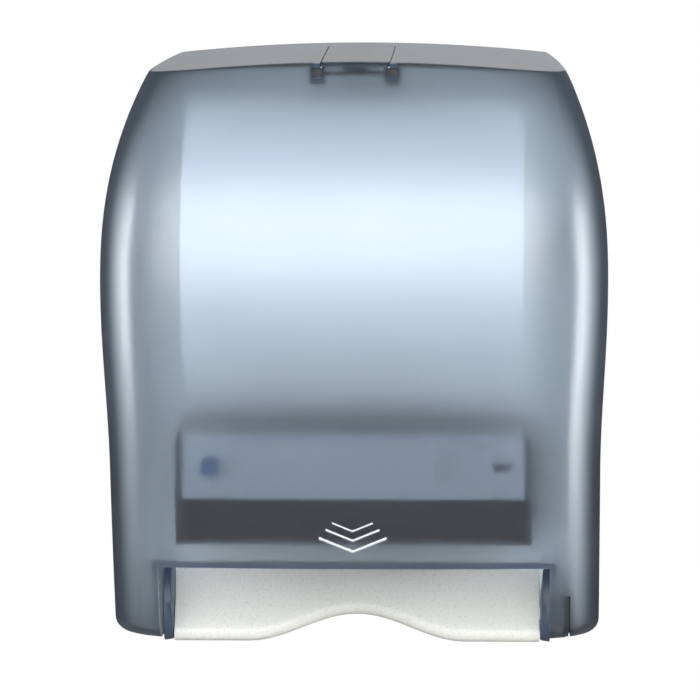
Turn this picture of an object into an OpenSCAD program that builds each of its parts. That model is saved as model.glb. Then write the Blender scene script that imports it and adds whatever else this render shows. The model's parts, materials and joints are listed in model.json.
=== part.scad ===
// Wall-mounted automatic roll towel dispenser.
// X runs to the right, the wall is the plane y = 0, the front faces -Y and Z is up.
// The origin is the middle of the wall screw pattern, on the wall.

/* [Towel roll] */
// Diameter of a full towel roll
roll_d = 200; // [170:1:206]
// Width of the towel
roll_w = 203; // [190:1:210]
// Outside diameter of the cardboard core
core_d = 44; // [38:0.5:52]
// Wall of the core
core_wall = 2; // [1:0.1:3]

/* [Room round the roll] */
// Back plate to roll
roll_rear_gap = 14; // [8:0.5:24]
// Roll to the inside of the cover's front
roll_front_gap = 10; // [6:0.5:24]
// Roll to the inside of the cover's top, at the rear
roll_head_gap = 26; // [20:0.5:40]
// End of the roll to the inside of the cover's side
roll_side_room = 46.5; // [42:0.5:60]
// Roll to the deck of the module under it
roll_deck_gap = 3; // [2:0.5:12]

/* [Heights] */
// Deck of the module, measured from the screw pattern
deck_z = -50; // [-60:1:-40]
// Lower lip of the cover between its legs
lip_z = -130; // [-136:1:-124]
// Lower ends of the cover's legs
foot_z = -176; // [-186:1:-170]
// Lower edge of the chute nose
nose_z = -179; // [-186:1:-174]

/* [Cover] */
// Wall of the cover
wall = 3; // [2:0.1:4]
// Corner radius of the cover, seen from above
corner_r = 42; // [30:1:55]
// Slope at which the bowed front meets the corners
bow_angle = 5; // [2:0.5:8]
// Fall of the top towards the front
top_slope = 4.5; // [1:0.5:7]
// Radius of the top's side-to-side crown
crown_r = 1100; // [700:10:2000]
// How much each side draws in at the top
top_narrow = 33; // [20:1:44]
// How much the front sets back at the top
top_setback = 80; // [60:1:90]
// Further rounding of the top corners
shoulder = 17; // [8:1:24]
// Height over which the top corners round
shoulder_h = 23; // [14:1:30]
// How much each side draws in towards the legs
foot_narrow = 4; // [0:0.5:10]
// Height over which the sides draw in below the widest level
foot_span = 115; // [90:1:180]
// How much the front sets back at the legs
foot_setback = 56; // [40:1:64]
// Rounding of the legs' lower ends
foot_r = 10; // [6:0.5:12]
// Widest level of the cover, below the roll's axis
bulge_drop = 13; // [0:1:30]
// Depth of the return inside the lower lip
lip_return = 14; // [6:0.5:18]
// Rear edge of the cover to the wall
rear_gap = 14; // [8:0.5:20]
// Width of the slit in the right leg
leg_slit_w = 3; // [1:0.1:5]
// Height of that slit
leg_slit_h = 28; // [10:1:34]

/* [Latch tab] */
// Width of the press tab
tab_w = 39; // [26:0.5:60]
// Width of the slits beside the tab
slit_w = 1.5; // [1:0.1:3]
// Width of the notches in the front edge
notch_w = 6; // [3:0.5:9]
// Height of the notches
notch_h = 8.5; // [5:0.5:12]
// Rear end of the tab to the wall
tab_rear = 42; // [34:1:70]
// Gap at the tab's root and end
tab_gap = 0.5; // [0.4:0.1:1]

/* [Base] */
// Thickness of the back plate
plate_t = 4; // [3:0.5:6]
// Depth of the rim in front of the plate
rim_depth = 20; // [14:0.5:30]
// Thickness of the rim
rim_t = 2.5; // [1.5:0.1:3.5]
// Rim to the inside of the cover
rim_gap = 1.2; // [1:0.1:2.5]
// Lower end of the rim
rim_z = -30; // [-40:1:0]
// Screw spacing across
screw_dx = 170; // [120:1:180]
// Screw spacing up and down
screw_dz = 220; // [200:1:224]
// Diameter of the wall screw holes
screw_hole_d = 5.5; // [4:0.1:7]

/* [Chute nose] */
// Width of the nose
nose_w = 220; // [212:1:226]
// Thickness of the nose
nose_t = 3; // [2:0.1:4]
// Forward reach of the nose from its top to its lower edge
nose_flare = 24; // [12:1:32]
// Height of the arch in the nose's lower edge
arch_h = 15.5; // [6:0.5:22]
// Width of the arch
arch_w = 132; // [90:1:170]
// Top of the nose's front, from the wall
nose_y = 120; // [116:1:128]
// Shelf behind the throat, above the nose's lower edge
shelf_up = 14; // [8:0.5:20]

/* [Hinge] */
// Diameter of the hinge pins
hinge_d = 6; // [4:0.1:7]
// Hinge axis from the wall
hinge_y = 131; // [126:0.5:134]
// Hinge axis above the nose's lower edge
hinge_up = 8; // [7:0.5:12]
// Outside diameter of the hinge lugs
lug_d = 16; // [12:0.5:18]
// Thickness of the hinge lugs
lug_t = 6; // [4:0.5:8]
// Nose to hinge lug
lug_gap = 1; // [0.5:0.1:2]

/* [Roll arms] */
// Thickness of an arm
arm_t = 4; // [3:0.1:5]
// Height of an arm
arm_h = 24; // [18:0.5:32]
// Roll to arm
arm_gap = 3; // [2.5:0.1:5]
// Diameter of the arm pins
arm_pin_d = 4; // [3:0.1:5]
// Arm pin from the back plate
arm_pin_out = 10; // [8:0.5:13]
// Reach of a hub into the core
hub_reach = 10; // [7:0.5:12]

/* [Drive] */
// Diameter of the drive sleeves
drive_d = 28; // [22:0.5:30]
// Diameter of the drive shaft
drive_shaft_d = 6; // [5:0.1:8]
// Diameter of the pinch sleeves
pinch_d = 18; // [14:0.5:20]
// Diameter of the pinch shaft
pinch_shaft_d = 5; // [4:0.1:6]
// Drive axis from the wall
drive_y = 88; // [84:1:92]
// Drive axis below the deck
drive_drop = 42; // [38:1:44]
// Length of a sleeve
sleeve_l = 46; // [30:1:54]
// Spacing of the sleeves
sleeve_pitch = 64; // [56:1:66]
// Gear module, pitch diameter over teeth
gear_m = 1.25; // [1:0.05:1.3]
// Teeth of the drive gear
drive_teeth = 36; // [30:2:36]
// Teeth of the idler gear
idler_teeth = 24; // [20:2:26]
// Teeth of the motor pinion
pinion_teeth = 14; // [14:2:16]
// Face width of the gears
gear_w = 5; // [3:0.5:6]
// Diameter of the motor
motor_d = 24; // [18:0.5:26]
// Length of the motor
motor_l = 38; // [28:1:48]
// Thickness of the towel web
web_t = 0.4; // [0.3:0.1:0.6]

/* [Chassis] */
// Thickness of the side plates
side_t = 4; // [3:0.5:5]
// Roll end to side plate
side_gap = 0.5; // [0.3:0.1:2]
// Thickness of the chassis floor
floor_t = 3; // [2:0.5:4]
// Lip to the underside of the floor
floor_up = 14; // [10:0.5:18]

/* [Module] */
// Wall of the module housing
module_wall = 2; // [1.5:0.1:3]
// Pinch sleeve to the module
module_gap = 4; // [3:0.5:8]
// Diameter of a cell
cell_d = 33; // [31:0.1:33.4]
// Length of a cell
cell_l = 61.5; // [56:0.5:62]
// Thickness of the battery door
door_t = 2; // [1.5:0.1:3]
// Unlocking travel of the battery door
door_slide = 12; // [6:0.5:13]
// Diameter of the feed button
button_d = 12; // [8:0.5:14]
// Travel of the feed button
button_travel = 1.5; // [1:0.1:2]

/* [Fits] */
// Radial clearance of a turning shaft
run_fit = 0.05; // [0.02:0.01:0.1]
// Clearance between loose pieces
play = 0.3; // [0.2:0.05:0.5]

/* [Hidden] */
$fn = 48;

// Colours of the mouldings and metals
granite = [0.87, 0.87, 0.84];
slate_blue = [0.42, 0.50, 0.60, 0.55];
dark_blue = [0.16, 0.20, 0.26];
black_plastic = [0.11, 0.12, 0.13];
steel = [0.72, 0.73, 0.75];
bronze = [0.62, 0.47, 0.28];
rubber_grey = [0.20, 0.20, 0.21];
nylon = [0.90, 0.89, 0.84];
board_green = [0.10, 0.32, 0.18];

// The roll, and the cover that clears it
roll_r = roll_d / 2;
roll_y = -(plate_t + roll_rear_gap + roll_r);
roll_z = deck_z + roll_deck_gap + roll_r;
core_bore_d = core_d - 2 * core_wall;
cover_w = roll_w + 2 * (roll_side_room + wall);
cover_top = roll_z + roll_r + roll_head_gap + wall;
bulge_z = roll_z - bulge_drop;

// The module in front of the rollers
pinch_y = drive_y + (drive_d + pinch_d) / 2 + web_t + 2 * play;
contact_t = 1.2;
rail_t = 1.2;
door_play = 0.2;
module_h = cell_d + 2 * play + 2 * module_wall;
module_low = deck_z - module_h;
module_rear = pinch_y + pinch_d / 2 + module_gap;
module_front = module_rear + 2 * module_wall + 2 * contact_t + cell_l + play;
module_face = module_front + door_t + 2 * door_play + rail_t;

// How fast the sides and the front draw in above and below the widest level
side_power = 2.35;
shoulder_power = 3;
front_power = 2.2;
foot_power = 1.8;
// Steps of the cover's outline and height
arc_n = 8;
front_n = 5;
level_n = 24;
foot_n = 4;
crown_n = 7;
// Overshoot of cuts, so that they leave no skin
over = 1;

function power(base, e) = base <= 0 ? 0 : pow(base, e);
function rise(z) = (z - bulge_z) / (cover_top - bulge_z);
function sink(z) = (bulge_z - z) / (bulge_z - foot_z);
function foot_in(z) =
    z < foot_z + foot_r ? foot_r - sqrt(max(0, pow(foot_r, 2) - pow(foot_z + foot_r - z, 2))) : 0;
function side_in_at(z) =
    z > bulge_z
        ? top_narrow * power(rise(z), side_power)
            + shoulder * power((z - cover_top + shoulder_h) / shoulder_h, shoulder_power)
        : foot_narrow * (1 - cos(180 * min(1, (bulge_z - z) / foot_span))) / 2;
function front_in_at(z) =
    z > bulge_z ? top_setback * power(rise(z), front_power) : foot_setback * power(sink(z), foot_power);
function half_w(z) = cover_w / 2 - side_in_at(z) - foot_in(z);
function bow(z) = (half_w(z) - corner_r * (1 - sin(bow_angle))) * tan(bow_angle) / 2;

// The cover is deep enough for the roll and, lower down, for the module
module_face_gap = 4;
roll_room = plate_t + roll_rear_gap + roll_d + roll_front_gap;
module_room = module_face + module_face_gap + bow(module_low) + front_in_at(module_low);
cover_d = max(roll_room, module_room) + wall;
// Larger than the object, for cuts that run right through
far = 2 * cover_d;
function front_d(z) = cover_d - front_in_at(z) - foot_in(z);
function top_at(y) = cover_top - (-y - rear_gap) * tan(top_slope);

// The crisp front edge of the top, and the root of the press tab below it
edge_z = top_at(-front_d(top_at(-front_d(cover_top))));
tab_root_z = edge_z - notch_h;
tab_root_d = front_d(tab_root_z);

// Hinge, legs and nose
leg_in = nose_w / 2 + lug_gap + lug_t;
hinge_z = nose_z + hinge_up;
nose_in = nose_w / 2 - nose_t;
floor_z = lip_z + floor_up;
nose_h = floor_z - nose_z;
nose_arc_r = (pow(nose_h, 2) + pow(nose_flare, 2)) / (2 * nose_flare);
function nose_front(z) = -(nose_y + nose_arc_r - sqrt(pow(nose_arc_r, 2) - pow(floor_z - z, 2)));

// Chassis and rollers
side_in = roll_w / 2 + side_gap;
side_out = side_in + side_t;
drive_z = deck_z - drive_drop;
web_y = -(drive_y + drive_d / 2 + play + web_t / 2);
bush_wall = 3;
bush_d = drive_shaft_d + 2 * bush_wall;
guide_gap = 4;
guide_t = 2.5;
guide_y = -web_y - guide_gap;
web_drop = 58;
web_end_z = drive_z - web_drop;

// Gears
function pitch_r(teeth) = gear_m * teeth / 2;
idler_y = drive_y - pitch_r(drive_teeth) - pitch_r(idler_teeth);
pinion_y = idler_y - pitch_r(idler_teeth) - pitch_r(pinion_teeth);
pressure_angle = 25;
backlash = 0.25;
addendum = 0.9;
dedendum = 1.2;
flank_n = 3;
gear_gap = 1;
gear_x = side_out + gear_gap;
guard_x = gear_x + gear_w + gear_gap;
guard_t = 2;
idler_pin_d = 5;
motor_shaft_d = 3;
shaft_room = 1;

// Module
module_mid_z = deck_z - module_h / 2;
cell_gap = 1;
cell_pitch = cell_d + cell_gap;
bay_half = 2 * cell_pitch + cell_gap / 2;
module_half = side_in - play;
door_lap = 2;
door_half = bay_half + door_lap;
rail_lip = 1.8;
panel_x = (bay_half + module_wall + module_half - module_wall) / 2;
button_x = -panel_x;
button_fit = 0.1;
button_flange = 1.5;
switch_off = 3;
switch_x = panel_x + switch_off;
switch_w = 4;
switch_travel = 2.5;
board_in = 12;
board_y = module_front - board_in;
board_t = 1.6;

// Arms
arm_x = roll_w / 2 + arm_gap;
arm_pin_x = arm_x + arm_t / 2;
arm_pin_y = -(plate_t + arm_pin_out);
barrel_wall = 3;
barrel_d = arm_pin_d + 2 * barrel_wall;
ear_t = 4;

// Extrudes a side view, drawn as [y, z], from x towards +X
module side_view(x, length) {
    translate([x, 0, 0]) rotate([90, 0, 90]) linear_extrude(length) children();
}

// Extrudes a front view, drawn as [x, z], from y towards the front
module front_view(y, length) {
    translate([0, y, 0]) rotate([90, 0, 0]) linear_extrude(length) children();
}

// A round bar along X, from x towards +X
module bar_x(x, y, z, d, length) {
    translate([x, y, z]) rotate([0, 90, 0]) cylinder(d = d, h = length);
}

// A round bar along Y, from y towards the front
module bar_y(x, y, z, d, length) {
    translate([x, y, z]) rotate([90, 0, 0]) cylinder(d = d, h = length);
}

// A box given by its two corners
module box(low, high) {
    translate(low) cube(high - low);
}

// Both sides of the object
module both_sides() {
    for (side = [0, 1]) mirror([side, 0, 0]) children();
}

// Cover surface: a stack of rounded sections, each bowed at the front and open to the rear
function half_section(z, inset, rear) =
    let (
        a = half_w(z) - inset,
        r = corner_r - inset,
        front_x = a - r * (1 - sin(bow_angle)),
        front_y = -(front_d(z) - inset),
        arc_y = front_y + bow(z) + r * cos(bow_angle)
    )
    concat(
        [[a, rear]],
        [for (i = [0:arc_n])
            let (t = 90 - (90 - bow_angle) * i / arc_n)
            [a - r + r * sin(t), arc_y - r * cos(t)]],
        [for (i = [1:front_n])
            let (x = front_x * (1 - i / front_n))
            [x, front_y + bow(z) * pow(x / front_x, 2)]]
    );

function section(z, inset, rear) =
    let (half = half_section(z, inset, rear))
    concat(half, [for (i = [len(half) - 2:-1:0]) [-half[i][0], half[i][1]]]);

function levels(low) =
    concat(
        [for (i = [0:foot_n - 1]) low + (foot_z + foot_r - low) * (1 - cos(90 * i / foot_n))],
        [for (i = [0:level_n]) foot_z + foot_r + (cover_top + wall - foot_z - foot_r) * i / level_n]
    );

module loft(low, inset, rear) {
    zs = levels(low);
    n = len(section(low, inset, rear));
    last = n * (len(zs) - 1);
    points = [for (z = zs) for (p = section(z, inset, rear)) [p[0], p[1], z]];
    sides = [for (k = [0:len(zs) - 2]) for (j = [0:n - 1])
        let (a = k * n + j, b = k * n + (j + 1) % n)
        each [[b, b + n, a + n], [b, a + n, a]]];
    polyhedron(points, concat(sides, [[for (j = [n - 1:-1:0]) j], [for (j = [0:n - 1]) last + j]]));
}

// Everything below the crowned, sloping top, lowered by drop
module under_top(drop) {
    step = cover_w / 2 / crown_n;
    crown = [for (i = [-crown_n:crown_n]) [i * step, sqrt(pow(crown_r, 2) - pow(i * step, 2)) - crown_r]];
    translate([0, -rear_gap, cover_top - drop]) rotate([top_slope, 0, 0])
        front_view(far, 2 * far) polygon(concat(crown, [[cover_w / 2, -far], [-cover_w / 2, -far]]));
}

module cover_solid() {
    intersection() {
        loft(foot_z, 0, -rear_gap);
        under_top(0);
    }
}

module cover_skin() {
    difference() {
        cover_solid();
        intersection() {
            loft(foot_z + wall, wall, rear_gap);
            under_top(wall);
        }
    }
}

// The part of the top and front taken up by the press tab, grown sideways by gap
module tab_room(gap, root, end) {
    box([-tab_w / 2 - gap, -far, root], [tab_w / 2 + gap, -end, cover_top + wall]);
}

module front_cover() {
    leg_slit_gap = 6.4;
    leg_slit_x = leg_in + wall + leg_slit_gap;
    leg_slit_back = front_d(foot_z) - corner_r / 2;
    lip_back = front_d(lip_z) - lip_return;
    color(slate_blue) resize([0, 0, 0]) difference() {
        union() {
            difference() {
                cover_skin();
                box([-leg_in, -far, foot_z - over], [leg_in, 0, lip_z]);
            }
            intersection() {
                cover_solid();
                union() {
                    both_sides() box([leg_in, -far, foot_z], [leg_in + wall, 0, lip_z + wall]);
                    box([-leg_in, -far, lip_z], [leg_in, -lip_back, lip_z + wall]);
                }
            }
        }
        tab_room(slit_w, tab_root_z, tab_rear);
        both_sides() box([tab_w / 2, -far, tab_root_z],
            [tab_w / 2 + notch_w, -tab_root_d + 3 * wall, edge_z + wall]);
        box([leg_slit_x, -far, foot_z - over],
            [leg_slit_x + leg_slit_w, -leg_slit_back, foot_z + leg_slit_h]);
    }
}

module hinge_lugs() {
    color(dark_blue) both_sides() difference() {
        bar_x(leg_in - lug_t, -hinge_y, hinge_z, lug_d, lug_t);
        bar_x(leg_in - lug_t - over, -hinge_y, hinge_z, hinge_d + 2 * run_fit, lug_t + 2 * over);
    }
}

// Press tab rooted at the front edge; its hook reaches back under the base's ledge
hook_w = 16;
hook_t = 4;
hook_drop = 12;
hook_root = 10;
hook_overlap = 5;
hook_end = plate_t + rim_depth - hook_overlap;
hook_top = top_at(-tab_rear) - wall - hook_drop + hook_t;
module latch_tab() {
    tab_end = tab_rear + 2 * tab_gap;
    hook_front = tab_end + hook_root;
    color(slate_blue) resize([0, 0, 0]) union() {
        intersection() {
            cover_skin();
            tab_room(0, tab_root_z + tab_gap, tab_end);
        }
        box([-hook_w / 2, -hook_front, hook_top - hook_t],
            [hook_w / 2, -tab_end, top_at(-hook_front) - wall / 2]);
        box([-hook_w / 2, -hook_front, hook_top - hook_t], [hook_w / 2, -hook_end, hook_top]);
    }
}

// Outline of the base as seen from the front, inset all round, as [x, z]
plate_side_n = 22;
plate_top_n = 5;
plate_corner = 4;
function base_half(inset) =
    let (shoulder_z = cover_top - shoulder_h / 3, low = foot_z + inset)
    concat(
        [for (i = [0:plate_side_n])
            let (z = low + (shoulder_z - low) * sin(90 * i / plate_side_n))
            [half_w(z) - inset, z - inset * i / plate_side_n]],
        [for (i = [plate_top_n:-1:0])
            let (x = (half_w(shoulder_z) - inset - plate_corner) * i / plate_top_n)
            [x, cover_top - inset - crown_r + sqrt(pow(crown_r, 2) - pow(x, 2))]]
    );

module base_outline(inset) {
    half = base_half(inset);
    polygon(concat(half, [for (i = [len(half) - 2:-1:0]) [-half[i][0], half[i][1]]]));
}

module base_ring(y, depth, inset, thickness) {
    front_view(y, depth) difference() {
        base_outline(inset);
        base_outline(inset + thickness);
    }
}

module screw_pattern() {
    for (x = [-1, 1]) for (z = [-1, 1]) translate([x * screw_dx / 2, 0, z * screw_dz / 2]) children();
}

// Chassis screws, two at each end of the bridge
bridge_t = 4;
bridge_top = deck_z - 6;
bridge_h = 24;
chassis_screw_d = 3.8;
chassis_screw_in = 22;
chassis_screw_skin = 1;
module chassis_screw_places() {
    for (x = [-1, 1]) for (z = [-1, 1])
        translate([x * (side_in - chassis_screw_in), 0, bridge_top - (2 - z) * bridge_h / 4]) children();
}

edge_inset = 0.5;
flange_t = 4;
shelf_t = 3;
shelf_z = nose_z + shelf_up;
shelf_end = guide_y - guide_t;
catch_w = 20;
catch_t = 3;
catch_gap = 2.5;
edge_gap = 1;
cheek_gap = 2;
lens_w = 30;
lens_l = 12;
lens_y = 60;
module back_plate() {
    rim_inset = wall + rim_gap;
    ear_w = barrel_d;
    color(granite) difference() {
        union() {
            front_view(0, plate_t) base_outline(edge_inset);
            base_ring(-plate_t, rear_gap - plate_t - edge_gap, edge_inset, flange_t);
            intersection() {
                base_ring(-plate_t, rim_depth, rim_inset, rim_t);
                box([-cover_w, -far, rim_z], [cover_w, far, far]);
            }
            box([-catch_w / 2, -plate_t - rim_depth, hook_top + catch_gap],
                [catch_w / 2, -plate_t - rim_depth + catch_t, cover_top - rim_inset - rim_t / 2]);
            both_sides() {
                box([nose_in, -shelf_end, shelf_z], [nose_w / 2, 0, floor_z - cheek_gap]);
                for (z = [roll_z + arm_h / 2 + play, roll_z - arm_h / 2 - play - ear_t]) {
                    box([arm_pin_x - ear_w / 2, arm_pin_y, z], [arm_pin_x + ear_w / 2, 0, z + ear_t]);
                    translate([arm_pin_x, arm_pin_y, z]) cylinder(d = ear_w, h = ear_t);
                }
            }
            box([-nose_w / 2, -shelf_end, shelf_z], [nose_w / 2, 0, shelf_z + shelf_t]);
        }
        screw_pattern() bar_y(0, over, 0, screw_hole_d, plate_t + 2 * over);
        chassis_screw_places() bar_y(0, -chassis_screw_skin, 0, chassis_screw_d, plate_t);
        both_sides() translate([arm_pin_x, arm_pin_y, roll_z - arm_h])
            cylinder(d = arm_pin_d, h = 2 * arm_h);
        box([-lens_w / 2, -lens_y - lens_l / 2, shelf_z - over],
            [lens_w / 2, -lens_y + lens_l / 2, shelf_z + shelf_t + over]);
    }
}

module arm_pins() {
    reach = arm_h / 2 + play + ear_t;
    color(steel) both_sides() translate([arm_pin_x, arm_pin_y, roll_z - reach])
        cylinder(d = arm_pin_d, h = 2 * reach);
}

// Chassis: two side plates joined by a rear bridge, a front floor and a bulkhead
bulkhead_gap = 2;
bulkhead_t = 2;
bulkhead_y = pinch_y + pinch_d / 2 + bulkhead_gap;
floor_gap = 6;
floor_front = front_d(floor_z) - wall - bow(floor_z) - floor_gap;
post_d = 6;
post_off = 16 * gear_m;
function guard_posts() = [
    [-(drive_y - pitch_r(drive_teeth)), drive_z + post_off],
    [-(drive_y - pitch_r(drive_teeth)), drive_z - post_off],
    [-(idler_y - pitch_r(idler_teeth)), drive_z - post_off]
];
module chassis() {
    side_shape = [
        [-plate_t, deck_z], [-module_front, deck_z], [-module_front, module_low],
        [-floor_front, floor_z], [-plate_t, floor_z]
    ];
    through = 2 * (side_out + over);
    color(black_plastic) difference() {
        union() {
            both_sides() side_view(side_in, side_t) polygon(side_shape);
            box([-side_in, -plate_t - bridge_t, bridge_top - bridge_h], [side_in, -plate_t, bridge_top]);
            box([-side_in, -floor_front, floor_z], [side_in, -bulkhead_y, floor_z + floor_t]);
            box([-side_in, -bulkhead_y - bulkhead_t, floor_z],
                [side_in, -bulkhead_y, module_low - play]);
            for (p = guard_posts()) bar_x(side_in, p[0], p[1], post_d, guard_x - side_in);
        }
        bar_x(-side_out - over, -drive_y, drive_z, bush_d, through);
        bar_x(-side_out - over, -pinch_y, drive_z, pinch_shaft_d + 2 * run_fit, through);
        bar_x(0, -idler_y, drive_z, idler_pin_d, through);
        bar_x(0, -pinion_y, drive_z, motor_shaft_d + 2 * shaft_room, through);
        chassis_screw_places() bar_y(0, 0, 0, chassis_screw_d, plate_t + bridge_t + over);
    }
}

module chassis_screws() {
    head_d = 1.9 * chassis_screw_d;
    head_h = 2.4;
    color(steel) chassis_screw_places() {
        bar_y(0, -chassis_screw_skin, 0, chassis_screw_d, plate_t + bridge_t - chassis_screw_skin);
        bar_y(0, -plate_t - bridge_t, 0, head_d, head_h);
    }
}

// Chute nose: a flared front with an arched lower edge and two cheeks
nose_n = 12;
boss_w = 10;
boss_h = 6;
boss_drop = 26;
boss_z = floor_z - boss_drop;
boss_root = 1.5;
tear_in = 6;
tear_y = nose_y - tear_in;
tear_t = 1.2;
tear_screw_d = 3;
tear_screw_l = 4;
function nose_curve(back) =
    [for (i = [0:nose_n]) let (z = floor_z - nose_h * i / nose_n) [nose_front(z) + back, z]];
function backwards(list) = [for (i = [len(list) - 1:-1:0]) list[i]];
module tear_bar_places() {
    for (x = [-1, 0, 1]) translate([x * nose_in * 3 / 4, 0, boss_z + boss_h / 2]) children();
}
module chute_nose() {
    arch_n = 24;
    arch = [for (i = [-arch_n:arch_n])
        let (x = arch_w / 2 * i / arch_n) [x, nose_z + arch_h * pow(cos(90 * i / arch_n), 2)]];
    color(granite) difference() {
        union() {
            side_view(-nose_w / 2, nose_w) polygon(concat(nose_curve(0), backwards(nose_curve(nose_t))));
            both_sides() side_view(nose_in, nose_t)
                polygon(concat(nose_curve(0), [[-shelf_end, nose_z], [-shelf_end, floor_z]]));
            tear_bar_places() box([-boss_w / 2, -nose_y - boss_root, -boss_h / 2],
                [boss_w / 2, -tear_y, boss_h / 2]);
        }
        front_view(-nose_y, far)
            polygon(concat(arch, [[arch_w / 2, nose_z - over], [-arch_w / 2, nose_z - over]]));
        both_sides() bar_x(nose_in - over, -hinge_y, hinge_z, hinge_d, nose_t + 2 * over);
        tear_bar_places() bar_y(0, -tear_y + over, 0, tear_screw_d, tear_screw_l + 2 * over);
    }
}

module hinge_pins() {
    head = 3;
    color(steel) both_sides()
        bar_x(nose_in - head, -hinge_y, hinge_z, hinge_d, leg_in - play - nose_in + head);
}

module throat_guide() {
    guide_top = min(floor_z - cheek_gap, drive_z - drive_d / 2 - guide_gap);
    color(black_plastic) box([-nose_in, -guide_y, shelf_z], [nose_in, -guide_y + guide_t, guide_top]);
}

module tear_bar() {
    tooth_pitch = 5;
    tooth_h = 2.5;
    end_gap = 5;
    web_gap = 2;
    blade_drop = 4;
    half = floor((nose_in - end_gap) / tooth_pitch) * tooth_pitch;
    edge_y = web_y - web_gap - tooth_h;
    blade_z = boss_z - blade_drop;
    saw = [for (x = [-half:tooth_pitch:half - tooth_pitch])
        each [[x, edge_y], [x + tooth_pitch / 2, edge_y + tooth_h]]];
    color(steel) difference() {
        union() {
            box([-half, -tear_y, blade_z], [half, -tear_y + tear_t, boss_z + boss_h]);
            translate([0, 0, blade_z]) linear_extrude(tear_t)
                polygon(concat([[half, edge_y], [half, -tear_y], [-half, -tear_y]], saw));
        }
        tear_bar_places() bar_y(0, -tear_y + tear_t + over, 0, tear_screw_d, tear_t + 2 * over);
    }
}

module tear_bar_screws() {
    head_h = 1.8;
    color(steel) tear_bar_places() {
        bar_y(0, -tear_y + tear_t, 0, tear_screw_d, tear_t + tear_screw_l);
        bar_y(0, -tear_y + tear_t + head_h, 0, 2 * tear_screw_d, head_h);
    }
}

// Towel web: off the roll, over the drive roller and down the throat
web_n = 8;
function turn(r, t) = [r * cos(t), r * sin(t)];
function web_side(offset) =
    let (
        roll = [roll_y, roll_z],
        drive = [-drive_y, drive_z],
        roll_path = roll_r + play + web_t / 2,
        drive_path = drive_d / 2 + play + web_t / 2,
        apart = drive - roll,
        off_roll = atan2(apart[1], apart[0]) + 90 - asin((roll_path + drive_path) / norm(apart)),
        on_drive = off_roll + 180
    )
    concat(
        [roll + turn(roll_path + offset, off_roll)],
        [for (i = [0:web_n]) drive + turn(drive_path - offset, on_drive + (180 - on_drive) * i / web_n)],
        [[web_y + offset, web_end_z]]
    );
module paper_web() {
    color("white") side_view(-roll_w / 2, roll_w)
        polygon(concat(web_side(web_t / 2), backwards(web_side(-web_t / 2))));
}

module paper_roll() {
    color("white") difference() {
        bar_x(-roll_w / 2, roll_y, roll_z, roll_d, roll_w);
        bar_x(-roll_w / 2 - over, roll_y, roll_z, core_d, roll_w + 2 * over);
    }
}

module roll_core() {
    color([0.66, 0.55, 0.42]) difference() {
        bar_x(-roll_w / 2, roll_y, roll_z, core_d, roll_w);
        bar_x(-roll_w / 2 - over, roll_y, roll_z, core_bore_d, roll_w + 2 * over);
    }
}

module roll_arm() {
    color(black_plastic) difference() {
        union() {
            box([arm_x, roll_y, roll_z - arm_h / 2], [arm_x + arm_t, arm_pin_y, roll_z + arm_h / 2]);
            bar_x(arm_x, roll_y, roll_z, arm_h, arm_t);
            translate([arm_pin_x, arm_pin_y, roll_z - arm_h / 2]) cylinder(d = barrel_d, h = arm_h);
        }
        translate([arm_pin_x, arm_pin_y, roll_z - arm_h])
            cylinder(d = arm_pin_d + 2 * run_fit, h = 2 * arm_h);
    }
}
module right_arm() roll_arm();
module left_arm() mirror([1, 0, 0]) roll_arm();

// Hub: a flange on the arm, a short land in the core and a cone that lets the arm swing out
module hub() {
    land = 2;
    taper = 7;
    flange_gap = 1;
    flange_lip = 4;
    land_r = core_bore_d / 2 - play;
    tip_r = land_r - taper;
    flange_r = core_d / 2 + flange_lip;
    flange_in = roll_w / 2 + flange_gap;
    color(nylon) translate([0, roll_y, roll_z]) rotate([0, 90, 0]) rotate_extrude() polygon([
        [0, arm_x], [flange_r, arm_x], [flange_r, flange_in], [land_r, flange_in],
        [land_r, roll_w / 2 - land], [tip_r, roll_w / 2 - hub_reach], [0, roll_w / 2 - hub_reach]
    ]);
}
module right_hub() hub();
module left_hub() mirror([1, 0, 0]) hub();

// Gears: involute teeth, one tooth centred at the start angle
function involute(a) = tan(a) * 180 / PI - a;
function tooth_half(teeth, r) =
    let (base = pitch_r(teeth) * cos(pressure_angle))
    90 / teeth - backlash / 2 / pitch_r(teeth) * 180 / PI + involute(pressure_angle)
        - involute(acos(min(1, base / r)));
module gear_2d(teeth, start) {
    root = pitch_r(teeth) - dedendum * gear_m;
    tip = pitch_r(teeth) + addendum * gear_m;
    low = max(root, pitch_r(teeth) * cos(pressure_angle));
    flank = [for (i = [0:flank_n]) low + (tip - low) * i / flank_n];
    up = concat([[root, tooth_half(teeth, low)]], [for (r = flank) [r, tooth_half(teeth, r)]]);
    polygon([for (k = [0:teeth - 1]) let (mid = start + 360 * k / teeth)
        each concat(
            [for (p = up) turn(p[0], mid - p[1])],
            [for (p = backwards(up)) turn(p[0], mid + p[1])])]);
}
module gear(teeth, start, y) {
    translate([0, -y, drive_z]) side_view(gear_x, gear_w) gear_2d(teeth, start);
}

module drive_gear() {
    color(nylon) difference() {
        gear(drive_teeth, 0, drive_y);
        bar_x(gear_x - over, -drive_y, drive_z, drive_shaft_d, gear_w + 2 * over);
    }
}

module idler_gear() {
    color(nylon) difference() {
        gear(idler_teeth, 180 / idler_teeth, idler_y);
        bar_x(gear_x - over, -idler_y, drive_z, idler_pin_d + 2 * run_fit, gear_w + 2 * over);
    }
}

shaft_in_motor = 10;
module motor_pinion() {
    shaft_x = side_in - shaft_in_motor;
    color(bronze) union() {
        gear(pinion_teeth, 0, pinion_y);
        bar_x(shaft_x, -pinion_y, drive_z, motor_shaft_d, gear_x + gear_w - shaft_x);
    }
}

module idler_pin() {
    color(steel) bar_x(side_in, -idler_y, drive_z, idler_pin_d, guard_x - side_in);
}

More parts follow.
